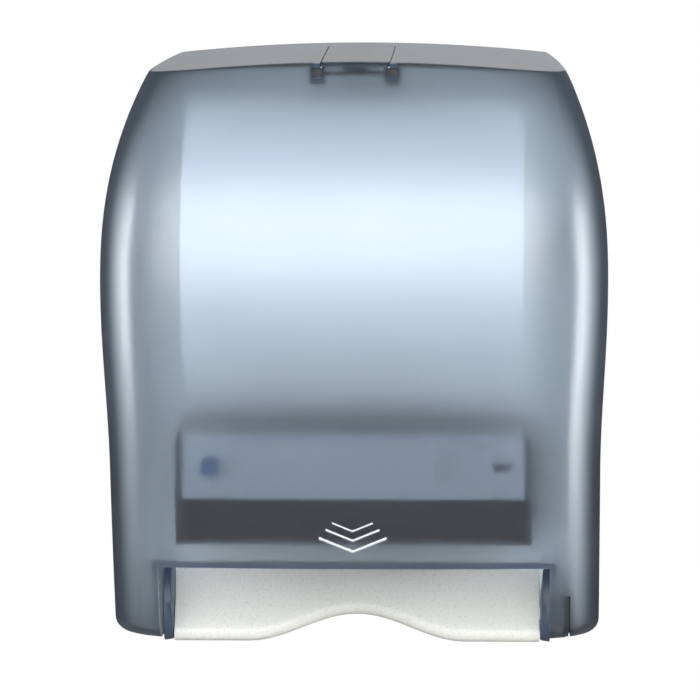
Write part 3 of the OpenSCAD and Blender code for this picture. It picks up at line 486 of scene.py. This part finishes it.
def drawn_in(z):
    """How far the sides and the front stand in from the widest and deepest place at height z."""
    foot = max(0.0, FOOT_Z + FOOT_R - z)
    foot = FOOT_R - math.sqrt(FOOT_R ** 2 - min(foot, FOOT_R) ** 2)
    if z > BULGE_Z:
        rise = (z - BULGE_Z) / (TOP_Z - BULGE_Z)
        shoulder = max(0.0, (z - SHOULDER_Z) / (TOP_Z - SHOULDER_Z))
        side = SIDE_IN * rise ** SIDE_POWER + SHOULDER_IN * shoulder ** 3
        return side + foot, FRONT_IN * rise ** FRONT_POWER + foot
    side = WAIST_IN / 2 * (1.0 - math.cos(math.pi * min(1.0, (BULGE_Z - z) / WAIST_BELOW)))
    return side + foot, FOOT_BACK * ((BULGE_Z - z) / (BULGE_Z - FOOT_Z)) ** FOOT_POWER + foot


def half_width(z):
    return HALF_WIDTH - drawn_in(z)[0]


def front_depth(z):
    return DEPTH - drawn_in(z)[1]


def front_bow(z):
    return (half_width(z) - CORNER_R * (1 - math.sin(BOW))) * math.tan(BOW) / 2


def arc_y(z):
    return -front_depth(z) + front_bow(z) + CORNER_R * math.cos(BOW)


def front_y(x, z):
    """The front skin at x and z, on the bowed front or round its corner."""
    x, a = abs(x), half_width(z)
    flat = a - CORNER_R * (1 - math.sin(BOW))
    if x <= flat:
        return -front_depth(z) + front_bow(z) * (x / flat) ** 2
    s = min(1.0, (x - a + CORNER_R) / CORNER_R)
    return arc_y(z) - CORNER_R * math.sqrt(1 - s * s)


def top_z(x, y):
    """The crowned, sloping top."""
    crown = math.sqrt(CROWN_R ** 2 - x * x) - CROWN_R
    return TOP_Z + (y - REAR_Y) * math.tan(SLOPE) + crown / math.cos(SLOPE)


print("widest", 2 * half_width(BULGE_Z), "deepest", front_depth(BULGE_Z), "lip", round(front_depth(LIP_Z), 1))

# %% [markdown]
# The columns of the grid run from the middle of the front, round the corner and back along the
# side. Columns at fixed x meet the tab's slits; three more meet the edge of the leg and the slit
# in it. Above the legs they spread evenly, so the reflections stay smooth.

# %% Columns of the wall
FRONT_X = [0, 6.5, 13, 19.5, 21, 25.5, 32, 40, 48, 56, 64, 72, 80, 88, 96, 105]
LEG_X = [117, 126.4, 129.4]
ARC_STEPS = [k / 10 for k in range(1, 11)]
SIDE_STEPS = [0.07, 0.15, 0.25, 0.36, 0.48, 0.61, 0.74, 0.87, 1.0]
LEG_TOP = -120.0


def arc_turn(x, z):
    """Angle on the corner arc that belongs to x, 90 degrees at the side."""
    return math.asin((x - half_width(z) + CORNER_R) / CORNER_R)


def half_row(z):
    """Points of the right half at height z, from the middle of the front to the rear."""
    points = [(x, front_y(x, z)) for x in FRONT_X]
    first, first_low = arc_turn(FRONT_X[-1], z), arc_turn(FRONT_X[-1], LEG_TOP)
    a = half_width(z)
    for x in LEG_X:
        if z <= LEG_TOP:
            turn_here = arc_turn(x, z)
        else:
            share = (arc_turn(x, LEG_TOP) - first_low) / (math.pi / 2 - first_low)
            turn_here = first + (math.pi / 2 - first) * share
        points.append((a - CORNER_R + CORNER_R * math.sin(turn_here), arc_y(z) - CORNER_R * math.cos(turn_here)))
    for step in ARC_STEPS:
        t = turn_here + (math.pi / 2 - turn_here) * step
        points.append((a - CORNER_R + CORNER_R * math.sin(t), arc_y(z) - CORNER_R * math.cos(t)))
    for step in SIDE_STEPS:
        points.append((a, arc_y(z) + (REAR_Y - arc_y(z)) * step))
    return points


COLUMNS = len(half_row(0.0))
LEG_COLUMN = len(FRONT_X)                   # the column on the edge of the leg
TAB_COLUMN = FRONT_X.index(25.5)
print("columns of one half:", COLUMNS)

# %% [markdown]
# Rows stand at fixed heights up to the root of the tab. The last few follow the edge between
# wall and top, which is found by halving: the point of each column where the wall meets the top.

# %% Rows of the wall
TAB_ROOT_Z = 161.7
foot_rows = [FOOT_Z + FOOT_R * (1 - math.cos(math.radians(a))) for a in range(0, 91, 15)]
leg_rows = foot_rows + [-160.0, -154.0, -148.0, -142.0, -136.0]
front_rows = list(np.linspace(LIP_Z, 150.0, 57)) + [156.0, TAB_ROOT_Z]
EDGE_STEPS = [0.2, 0.4, 0.6, 0.8, 1.0]


def edge_height(column):
    low, high = TAB_ROOT_Z, TOP_Z + 1.0
    for _ in range(50):
        z = (low + high) / 2
        if z < top_z(*half_row(z)[column]):
            low = z
        else:
            high = z
    return low


edge = [edge_height(k) for k in range(COLUMNS)]


def wall_row(index):
    """Row of the wall as (x, y, z) points, counted from the lip; the last rows follow the edge."""
    if index < len(front_rows):
        z = front_rows[index]
        return [(x, y, z) for x, y in half_row(z)]
    step = EDGE_STEPS[index - len(front_rows)]
    heights = [TAB_ROOT_Z + (e - TAB_ROOT_Z) * step for e in edge]
    return [(*half_row(z)[k], z) for k, z in enumerate(heights)]


wall = [wall_row(i) for i in range(len(front_rows) + len(EDGE_STEPS))]
print("edge of the top at the middle:", round(edge[0], 2), "at the rear:", round(edge[-1], 2))

# %% [markdown]
# The skin is gathered in one bmesh from several grids. Grids that meet share no points at first;
# merging points that lie in the same place joins them into one sheet. A last look at one face of
# the front tells whether the normals point outwards, which Solidify needs.

# %% Grid helpers
def add_grid(mesh, rows, skip=lambda row, column: False):
    """Adds rows of points in millimetres as a grid of faces; skip leaves out single faces."""
    verts = [[mesh.verts.new(Vector(p) * MM) for p in row] for row in rows]
    for i in range(len(rows) - 1):
        for k in range(len(rows[0]) - 1):
            if not skip(i, k):
                mesh.faces.new((verts[i][k], verts[i][k + 1], verts[i + 1][k + 1], verts[i + 1][k]))


def mirrored(rows):
    return [[(-x, y, z) for x, y, z in row] for row in rows]


def sheet_object(name, mesh, outward_of):
    """Joins the grids of mesh, turns the normals away from the point outward_of, makes the object."""
    bmesh.ops.remove_doubles(mesh, verts=mesh.verts, dist=0.00002)
    bmesh.ops.delete(mesh, geom=[v for v in mesh.verts if not v.link_faces], context="VERTS")
    bmesh.ops.recalc_face_normals(mesh, faces=mesh.faces)
    mesh.faces.ensure_lookup_table()
    probe = min(mesh.faces, key=lambda f: (f.calc_center_median() - Vector(outward_of)).length)
    if probe.normal.dot(Vector(outward_of) - probe.calc_center_median()) < 0:
        bmesh.ops.reverse_faces(mesh, faces=mesh.faces)
    data = bpy.data.meshes.new(name)
    mesh.to_mesh(data)
    mesh.free()
    data.shade_smooth()
    piece = bpy.data.objects.new(name, data)
    scene.collection.objects.link(piece)
    return piece


def give_wall(piece, thickness, bevel):
    """A wall inside the skin, in the first finish, with its cut edges in the second and a small radius."""
    solid = piece.modifiers.new("wall", "SOLIDIFY")
    solid.thickness, solid.offset = thickness * MM, -1.0
    solid.use_even_offset = solid.use_quality_normals = True
    solid.material_offset_rim = 1
    soften(piece, bevel)


def soften(piece, bevel):
    edge_round = piece.modifiers.new("edges", "BEVEL")
    edge_round.width, edge_round.segments = bevel * MM, 2
    edge_round.limit_method, edge_round.angle_limit = "ANGLE", math.radians(38)
    edge_round.harden_normals = True


# %% Wall and top of the cover
cover_mesh = bmesh.new()
TAB_ROW = len(front_rows) - 1
NOTCH_COLUMN = FRONT_X.index(19.5)


def in_notch(row, column):
    return row >= TAB_ROW and NOTCH_COLUMN <= column < TAB_COLUMN


for side in (wall, mirrored(wall)):
    add_grid(cover_mesh, side, in_notch)

TOP_BREAK = COLUMNS - 1 - 16                # column where the edge of the top turns from front to side
WINDOW_END, EDGE_STRIP = -42.0, 12.0
WINDOW_COLUMN = FRONT_X.index(21)


def back_line(x, y):
    """Points on the top from the front edge straight to the rear, with one at each end of the window."""
    ys = [y] + list(np.linspace(y + EDGE_STRIP, WINDOW_END, 12)) + list(np.linspace(WINDOW_END, REAR_Y, 5))[1:]
    return [(x, v) for v in ys]


def in_window(row, column):
    """The tab's window behind the edge strip, and the two slits beside it, which cut the strip too."""
    if row < NOTCH_COLUMN:
        return 1 <= column < 12
    return row < WINDOW_COLUMN and column < 12


def lay_on_top(rows):
    return [[(x, y, top_z(x, y)) for x, y in row] for row in rows]


rim = [p[:2] for p in wall[-1]]
middle = [back_line(*rim[k]) for k in range(TAB_COLUMN + 1)]
for rows in (lay_on_top(middle), mirrored(lay_on_top(middle))):
    add_grid(cover_mesh, rows, in_window)
print("skin faces so far:", len(cover_mesh.faces))

# %% [markdown]
# Beside the middle strip the top is a patch with four curved sides: the strip, the front edge,
# the side edge and the straight rear. A Coons patch fills it: it adds the two ways of blending
# opposite sides and takes away the blend of the four corners, which was counted twice.

# %% Rest of the top
front_side = rim[TAB_COLUMN:TOP_BREAK + 1]
outer_side = rim[TOP_BREAK:]
inner_side = middle[-1]
n, m = len(front_side) - 1, len(outer_side) - 1
rear_side = [(inner_side[-1][0] + (outer_side[-1][0] - inner_side[-1][0]) * i / n, REAR_Y) for i in range(n + 1)]


def patch_point(i, j):
    u, v = i / n, j / m
    point = []
    for c in range(2):
        across = (1 - v) * front_side[i][c] + v * rear_side[i][c]
        along = (1 - u) * inner_side[j][c] + u * outer_side[j][c]
        corners = ((1 - u) * (1 - v) * front_side[0][c] + u * (1 - v) * front_side[-1][c]
                   + (1 - u) * v * rear_side[0][c] + u * v * rear_side[-1][c])
        point.append(across + along - corners)
    return tuple(point)


patch = lay_on_top([[patch_point(i, j) for j in range(m + 1)] for i in range(n + 1)])
for rows in (patch, mirrored(patch)):
    add_grid(cover_mesh, rows)
print("top patch", n, "by", m)

# %% [markdown]
# Each leg goes on down from the wall, closed on its inner side and below, and open to the rear.
# The right leg has a narrow slit that runs from its front under the foot. Between the legs the
# wall ends in a lip that turns back like a shelf.

# %% Legs and lip
FOOT_STEPS = 4                              # rows of the foot in front of the end of the slit
SLIT_END, SLIT_TOP = -128.0, -148.0
INNER_STEPS = len(ARC_STEPS) + len(SIDE_STEPS)
lip_back = -(front_depth(LIP_Z) - LIP_RETURN)
leg = [[(*p, z) for p in half_row(z)[LEG_COLUMN:]] for z in leg_rows + [LIP_Z]]


def foot_line(x):
    start_y = front_y(x, FOOT_Z)
    ahead = list(np.linspace(start_y, SLIT_END, FOOT_STEPS + 1))
    return ahead + list(np.linspace(SLIT_END, REAR_Y, INNER_STEPS - FOOT_STEPS + 1))[1:]


low_line = foot_line(LEG_X[0])
lip_front = front_y(LEG_X[0], LIP_Z)
high_line = [lip_front, (lip_front + lip_back) / 2] + list(np.linspace(lip_back, REAR_Y, INNER_STEPS - 1))
inner_wall = []
for z in leg_rows + [LIP_Z]:
    share = (z - FOOT_Z) / (LIP_Z - FOOT_Z)
    here = front_y(LEG_X[0], z)
    row = []
    for low, high in zip(low_line, high_line):
        low_part = (low - low_line[0]) / (REAR_Y - low_line[0])
        high_part = (high - high_line[0]) / (REAR_Y - high_line[0])
        row.append((LEG_X[0], here + (REAR_Y - here) * (low_part + (high_part - low_part) * share), z))
    inner_wall.append(row)
foot = [[(x, y, FOOT_Z) for y in foot_line(x)] for x in LEG_X] + [leg[0][len(LEG_X) - 1:]]

slit_row = leg_rows.index(SLIT_TOP)
for side in (1, -1):
    turned = (lambda rows: rows) if side == 1 else mirrored
    add_grid(cover_mesh, turned(leg), lambda row, column: side == 1 and row < slit_row and column == 1)
    add_grid(cover_mesh, turned(inner_wall))
    add_grid(cover_mesh, turned(foot), lambda row, column: side == 1 and row == 1 and column < FOOT_STEPS)

lip_x = FRONT_X + [LEG_X[0]]
lip = [[(x, front_y(x, LIP_Z) + (lip_back - front_y(x, LIP_Z)) * s, LIP_Z) for s in (0, 0.5, 1)] for x in lip_x]
for rows in (lip, mirrored(lip)):
    add_grid(cover_mesh, rows)

cover = sheet_object("cover_shell", cover_mesh, (0, -0.4, 0.03))
give_wall(cover, WALL, 0.3)
for finish in ("cover_blue", "hinge_blue"):
    cover.data.materials.append(finishes[finish])
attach(cover, "cover")
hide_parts("front_cover")
print("cover:", len(cover.data.polygons), "faces in the skin")

# %% [markdown]
# ## The press tab
# Between the two notches the top of the cover is a separate tongue that bends when a thumb
# presses it. It lies in its window with less than half a millimetre to spare, on the same slope.
# Under it sits a dark lever: a bar with a flange behind each notch, and an arm whose hook reaches
# back below the ledge of the base.

# %% Tab
TAB_X = [0, 3.2, 6.5, 9.7, 13, 16.2, 19.5, 20.6]
TAB_GAP, TAB_END = 0.2, -42.4
tab_mesh = bmesh.new()
columns = []
for x in TAB_X:
    first = front_y(x, edge[0] - x * x / (2 * CROWN_R)) + EDGE_STRIP + TAB_GAP
    columns.append([(x, y, top_z(x, y)) for y in np.linspace(first, TAB_END, 18)])
for rows in (columns, mirrored(columns)):
    add_grid(tab_mesh, rows)
tab = sheet_object("press_tab", tab_mesh, (0, -0.1, 0.5))
give_wall(tab, WALL, 0.2)
for finish in ("cover_blue", "hinge_blue"):
    tab.data.materials.append(finishes[finish])
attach(tab, "latch")
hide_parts("latch_tab")
print("tab from y", round(columns[0][0][1], 1), "to", TAB_END)

# %% Lever with its hook
def add_prism(mesh, outline, low, high):
    """A prism over an outline of (y, z) points, from x = low to high."""
    rings = [[mesh.verts.new(Vector((x, y, z)) * MM) for y, z in outline] for x in (low, high)]
    for ring in rings:
        mesh.faces.new(ring)
    for k in range(len(outline)):
        j = (k + 1) % len(outline)
        mesh.faces.new((rings[0][k], rings[0][j], rings[1][j], rings[1][k]))


lever_arm = [(-158.0, 163.2), (-156.0, 162.3), (-57.0, 170.6), (-53.0, 164.8), (-19.6, 164.8), (-19.0, 165.4),
             (-19.0, 167.6), (-20.2, 168.8), (-41.5, 168.8), (-43.0, 170.3), (-43.0, 176.5), (-158.0, 167.4)]
lever_flange = [(-163.0, 156.0), (-160.4, 156.0), (-155.4, 161.0), (-155.4, 164.0), (-160.4, 167.1), (-163.0, 166.9)]
lever_bar = [(-158.6, 161.2), (-155.6, 161.2), (-155.6, 163.8), (-158.6, 163.8)]
lever_mesh = bmesh.new()
add_prism(lever_mesh, lever_arm, -8.0, 8.0)
add_prism(lever_mesh, lever_bar, -26.6, 26.6)
for side in (-1, 1):
    add_prism(lever_mesh, lever_flange, *sorted((side * 17.8, side * 27.2)))
lever = sheet_object("latch_lever", lever_mesh, (0, -0.4, 0.155))
soften(lever, 0.4)
lever.data.materials.append(finishes["black_plastic"])
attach(lever, "latch")
print("lever:", len(lever.data.polygons), "faces")

# %% [markdown]
# ## Hinge lugs
# At the foot of each leg a dark lug sits on the inner wall and turns on the hinge pin. It is
# round about the pin and runs out upwards in a thin wedge. The wedge reaches nearly up to the lip,
# well above the real hook: that upper part is painted shade on the leg's inner wall.

# %% Lugs
LUG_Y, LUG_Z, PIN_R, LUG_STEPS = -131.0, -171.0, 2.6, 48
# The two outer wedges, 24 and 27 mm tall, reach nearly to the lip: painted shade on the inner wall above the real
# hook.
LUG_FACES = ((111.3, 9.0, 7.0), (113.0, 9.6, 24.0), (117.2, 10.2, 27.0))      # x, radius, height of the wedge


def lug_outline(radius, wedge):
    """A circle about the pin, drawn out to a rounded point above it."""
    points = []
    for k in range(LUG_STEPS):
        t = 2 * math.pi * k / LUG_STEPS
        up = max(0.0, math.sin(t)) ** 1.1
        points.append((LUG_Y + radius * math.cos(t), LUG_Z + radius * math.sin(t) + wedge * up))
    return points


lug_mesh = bmesh.new()
for side in (1, -1):
    turns = [2 * math.pi * k / LUG_STEPS for k in range(LUG_STEPS)]
    bore = [[(side * x, LUG_Y + PIN_R * math.cos(t), LUG_Z + PIN_R * math.sin(t)) for t in turns]
            for x in (LUG_FACES[0][0], LUG_FACES[-1][0])]
    rows = [[(side * x, y, z) for y, z in lug_outline(radius, wedge)] for x, radius, wedge in LUG_FACES]
    rows = [bore[0]] + rows + [bore[1], bore[0]]
    add_grid(lug_mesh, [row + row[:1] for row in rows])
lugs = sheet_object("hinge_lugs_and_shade", lug_mesh, (0.3, -0.131, -0.171))
soften(lugs, 0.4)
lugs.data.materials.append(finishes["hinge_blue"])
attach(lugs, "cover")
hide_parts("hinge_lugs")
print("lugs:", len(lugs.data.polygons), "faces")

# %% [markdown]
# ## Painted shade behind the slit
# The slit in the right leg looks into a black block inside the leg, which stands in for the shade
# deep in a narrow slit: painted shade. It follows the curve of the leg's front a little way behind
# it, and a tongue on it stands in the slit just under the skin, so the slit reads as a deep dark line.

# %% Slit block
# Painted shade: the black block and its tongue stand where the slit only holds shade.
BLOCK_X, BLOCK_BACK = (125.4, 130.4), -124.0
BLOCK_LOW, BLOCK_TOP = -172.6, -145.0
block_front = [(front_y(BLOCK_X[1], z) + WALL + 0.8, z) for z in np.linspace(BLOCK_LOW, BLOCK_TOP, 10)]
block_mesh = bmesh.new()
add_prism(block_mesh, block_front + [(BLOCK_BACK, BLOCK_TOP), (BLOCK_BACK, BLOCK_LOW)], *BLOCK_X)


def under_skin(x, z, depth):
    """The point at a depth under the front skin, square to its outline at height z."""
    slope = (front_y(x + 0.1, z) - front_y(x - 0.1, z)) / 0.2
    length = math.hypot(slope, 1.0)
    return (x - depth * slope / length, front_y(x, z) + depth / length, z)


tongue = []
for z in np.linspace(-175.0, SLIT_TOP - 0.4, 24):
    low, high = LEG_X[1] + 0.3, LEG_X[2] - 0.3
    corners = ((low, 4.2), (low, 0.8), (high, 0.8), (high, 4.2), (low, 4.2))
    tongue.append([under_skin(x, z, depth) for x, depth in corners])
add_grid(block_mesh, tongue)
for end in (tongue[0], tongue[-1]):
    add_grid(block_mesh, [end[:2], [end[3], end[2]]])
block = sheet_object("slit_shade_block", block_mesh, (0.1279, -0.4, -0.16))
soften(block, 0.4)
block.data.materials.append(finishes["black_plastic"])
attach(block, "cover")
print("block front at y", round(block_front[0][0], 1), "to", round(block_front[-1][0], 1))

# %% [markdown]
# ## The chute nose
# Under the lip hangs the speckled nose that leads the towel out. Its front flares towards the
# user, its lower edge rises in a shallow arch, and that edge is rolled into a round bead so that
# it doesn't cut the paper or a finger. Each column of the grid is one closed outline: down the
# front, round the bead and up the back. Two cheeks close the ends.

# %% Nose
NOSE_HALF, NOSE_TOP, NOSE_LOW, NOSE_Y, NOSE_FLARE_R = 111.0, -116.0, -181.0, -120.0, 94.7
ARCH_HALF, ARCH_H, BEAD_R, NOSE_WALL, CHEEK_BACK = 66.0, 15.5, 5.4, 3.0, -96.0


def nose_y(z):
    return NOSE_Y - NOSE_FLARE_R + math.sqrt(NOSE_FLARE_R ** 2 - (NOSE_TOP - z) ** 2)


def nose_lean(z):
    """Angle by which the flared front looks upwards at height z."""
    return math.asin((NOSE_TOP - z) / NOSE_FLARE_R)


def nose_outline(x):
    """Closed outline of the nose at x as (y, z): front, bead, back."""
    rise = ARCH_H * math.cos(math.pi / 2 * x / ARCH_HALF) ** 2 if abs(x) < ARCH_HALF else 0.0
    low = NOSE_LOW + rise
    join = low + BEAD_R * 1.7
    for _ in range(30):
        join = low + BEAD_R * (1 + math.sin(nose_lean(join)))
    lean = nose_lean(join)
    centre = (nose_y(join) + BEAD_R * math.cos(lean), join - BEAD_R * math.sin(lean))
    heights = np.linspace(NOSE_TOP, join, 15)[:-1]
    front = [(nose_y(z), z) for z in heights]
    turns = np.linspace(lean, -math.pi, 12)
    bead = [(centre[0] - BEAD_R * math.cos(t), centre[1] + BEAD_R * math.sin(t)) for t in turns]
    last = bead[-1][1] + 3.0
    back = [(nose_y(z) + NOSE_WALL / math.cos(nose_lean(z)), z) for z in np.linspace(last, NOSE_TOP, 10)]
    return front + bead + back


nose_mesh = bmesh.new()
nose_columns = [[(x, y, z) for y, z in nose_outline(x)] for x in np.linspace(-NOSE_HALF, NOSE_HALF, 89)]
add_grid(nose_mesh, [column + column[:1] for column in nose_columns])
bmesh.ops.remove_doubles(nose_mesh, verts=nose_mesh.verts, dist=0.00002)
bmesh.ops.holes_fill(nose_mesh, edges=[e for e in nose_mesh.edges if e.is_boundary], sides=0)
print("nose faces:", len(nose_mesh.faces))

# %% Cheeks and screw bosses of the nose
cheek = [(nose_y(z) + 0.4, z) for z in np.linspace(NOSE_TOP, NOSE_LOW + 10.0, 12)]
cheek += [(nose_y(NOSE_LOW + 10.0) + 8.0, NOSE_LOW + 2.0), (CHEEK_BACK, NOSE_LOW + 2.0), (CHEEK_BACK, NOSE_TOP)]
boss = [(NOSE_Y - 1.5, -142.0), (NOSE_Y + 6.0, -142.0), (NOSE_Y + 6.0, -136.0), (NOSE_Y - 1.5, -136.0)]
for side in (-1, 1):
    ends = sorted((side * (NOSE_HALF - NOSE_WALL), side * NOSE_HALF))
    add_prism(nose_mesh, cheek, *ends)
for x in (-80.25, 0.0, 80.25):
    add_prism(nose_mesh, boss, x - 5.0, x + 5.0)
nose = sheet_object("chute_moulding", nose_mesh, (0, -0.4, -0.14))
soften(nose, 0.6)
nose.data.materials.append(finishes["granite"])
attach(nose, "base")
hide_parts("chute_nose")
print("nose reaches y", round(min(p[1] for c in nose_columns for p in c), 1))

# %% [markdown]
# ## The towel roll
# A towel roll is a long sheet wound on a board tube. Its round side is nearly smooth, with the
# faint waves of uneven winding, and its ends show the edges of the layers as fine rings.
# A profile turned about the axis gives all of it; the rings are small steps in that profile.

# %% Wound roll
ROLL_Y, ROLL_Z, ROLL_R, CORE_R, ROLL_HALF = -118.0, 53.0, 100.0, 22.0, 101.5
RINGS, TURNS = 52, 144
wander = np.random.default_rng(7)
ring_r = np.linspace(CORE_R, ROLL_R - 1.0, RINGS)
ring_x = ROLL_HALF - 0.12 - wander.uniform(0.0, 0.45, RINGS)
end_profile = list(zip(ring_x, ring_r)) + [(ROLL_HALF - 0.5, ROLL_R - 0.35), (ROLL_HALF - 1.2, ROLL_R)]
side_profile = [(x, ROLL_R) for x in np.linspace(ROLL_HALF - 6.0, -ROLL_HALF + 6.0, 34)]
profile = end_profile + side_profile + [(-x, r) for x, r in reversed(end_profile)]
wave_a, wave_b = wander.uniform(0, 2 * math.pi, 2)
rows = []
for k in range(TURNS + 1):
    turn_here = 2 * math.pi * k / TURNS
    row = []
    for x, r in profile:
        outer = max(0.0, (r - CORE_R) / (ROLL_R - CORE_R))
        wave = 0.18 * math.sin(3 * turn_here + wave_a) + 0.10 * math.sin(x / 9.0 + 2 * turn_here + wave_b)
        radius = r - outer * (0.28 - wave)
        row.append((x, ROLL_Y + radius * math.cos(turn_here), ROLL_Z + radius * math.sin(turn_here)))
    rows.append(row)
roll_mesh = bmesh.new()
add_grid(roll_mesh, [row + row[:1] for row in rows])
roll = sheet_object("wound_roll", roll_mesh, (0, -0.4, 0.053))
roll.data.set_sharp_from_angle(angle=math.radians(50))
roll.data.materials.append(finishes["towel_paper"])
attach(roll, "roll")
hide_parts("paper_roll")
print("roll:", len(roll.data.polygons), "faces")

# %% [markdown]
# ## The towel between roll and outlet
# The sheet leaves the back of the roll, passes round the drive roller, squeezed by the pinch
# roller, and hangs a little way down the throat. It is a thin band, so its path is worked out in
# the side view as the line that touches both rollers, and swept across the width.

# %% Towel sheet
DRIVE_Y, DRIVE_Z, DRIVE_R, PLAY, SHEET_T = -88.0, -92.0, 14.0, 0.3, 0.4
SHEET_END = -150.0
roll_path = ROLL_R + PLAY + SHEET_T / 2
drive_path = DRIVE_R + PLAY + SHEET_T / 2
away_y, away_z = DRIVE_Y - ROLL_Y, DRIVE_Z - ROLL_Z
leaves = (math.atan2(away_z, away_y) + math.pi / 2
          - math.asin((roll_path + drive_path) / math.hypot(away_y, away_z)))
path = [(ROLL_Y + roll_path * math.cos(leaves), ROLL_Z + roll_path * math.sin(leaves))]
arrives = leaves + math.pi
touch = (DRIVE_Y + drive_path * math.cos(arrives), DRIVE_Z + drive_path * math.sin(arrives))
path += [tuple(path[0][c] + (touch[c] - path[0][c]) * s for c in (0, 1)) for s in np.linspace(0, 1, 14)[1:-1]]
for t in np.linspace(arrives, math.pi, 14):
    path.append((DRIVE_Y + drive_path * math.cos(t), DRIVE_Z + drive_path * math.sin(t)))
path += [(path[-1][0], z) for z in np.linspace(DRIVE_Z, SHEET_END, 14)[1:]]
print("sheet path from", [round(v, 1) for v in path[0]], "to", [round(v, 1) for v in path[-1]])

# %% Sweep the sheet
sheet_mesh = bmesh.new()
rows = []
for x in np.linspace(-ROLL_HALF, ROLL_HALF, 42):
    row = []
    for y, z in path:
        free = max(0.0, (DRIVE_Z - DRIVE_R - z) / (DRIVE_Z - DRIVE_R - SHEET_END))
        row.append((x, y + 0.5 * free * math.sin(x / 16.0), z))
    rows.append(row)
add_grid(sheet_mesh, rows)
towel = sheet_object("towel_sheet", sheet_mesh, (0, -0.4, -0.14))
thin = towel.modifiers.new("thickness", "SOLIDIFY")
thin.thickness, thin.offset = SHEET_T * MM, 0.0
towel.data.materials.append(finishes["towel_paper"])
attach(towel, "base")
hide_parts("paper_web")
print("towel sheet:", len(towel.data.polygons), "faces")

# %% [markdown]
# ## A printed guide mark
# Above the lip a plain mark printed in pale ink shows where to hold the hand: three chevrons that
# point down. Each is a thin band laid on the curve of the front, a tenth of a millimetre proud.

# %% Chevrons
tree, shader = start_finish("pale_ink", 0.45, IOR=1.5)
fine = use_group(tree, moulded, Scale=2500.0)
link(tree, tone(tree, fine["Cloud"], (0.70, 0.74, 0.78), (0.80, 0.83, 0.86)), shader.inputs["Base Color"])
bump(tree, shader, fine["Height"], 0.2, 0.00003)
INK_PROUD = 0.12
mark_mesh = bmesh.new()
for tip_z, reach, band in ((-120.0, 20.0, 1.7), (-113.0, 16.0, 1.4), (-107.0, 12.0, 1.1)):
    for side in (-1, 1):
        rows = []
        for x in np.linspace(0.0, reach, 9):
            low = tip_z + 0.42 * x
            row = [(side * x, front_y(x, z) - INK_PROUD, z) for z in np.linspace(low, low + band, 4)]
            rows.append(row)
        add_grid(mark_mesh, rows)
mark = sheet_object("guide_mark", mark_mesh, (0, -0.4, -0.11))
film = mark.modifiers.new("film", "SOLIDIFY")
film.thickness, film.offset = INK_PROUD * 0.8 * MM, -1.0
mark.data.materials.append(finishes["pale_ink"])
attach(mark, "cover")
print("guide mark:", len(mark.data.polygons), "faces")
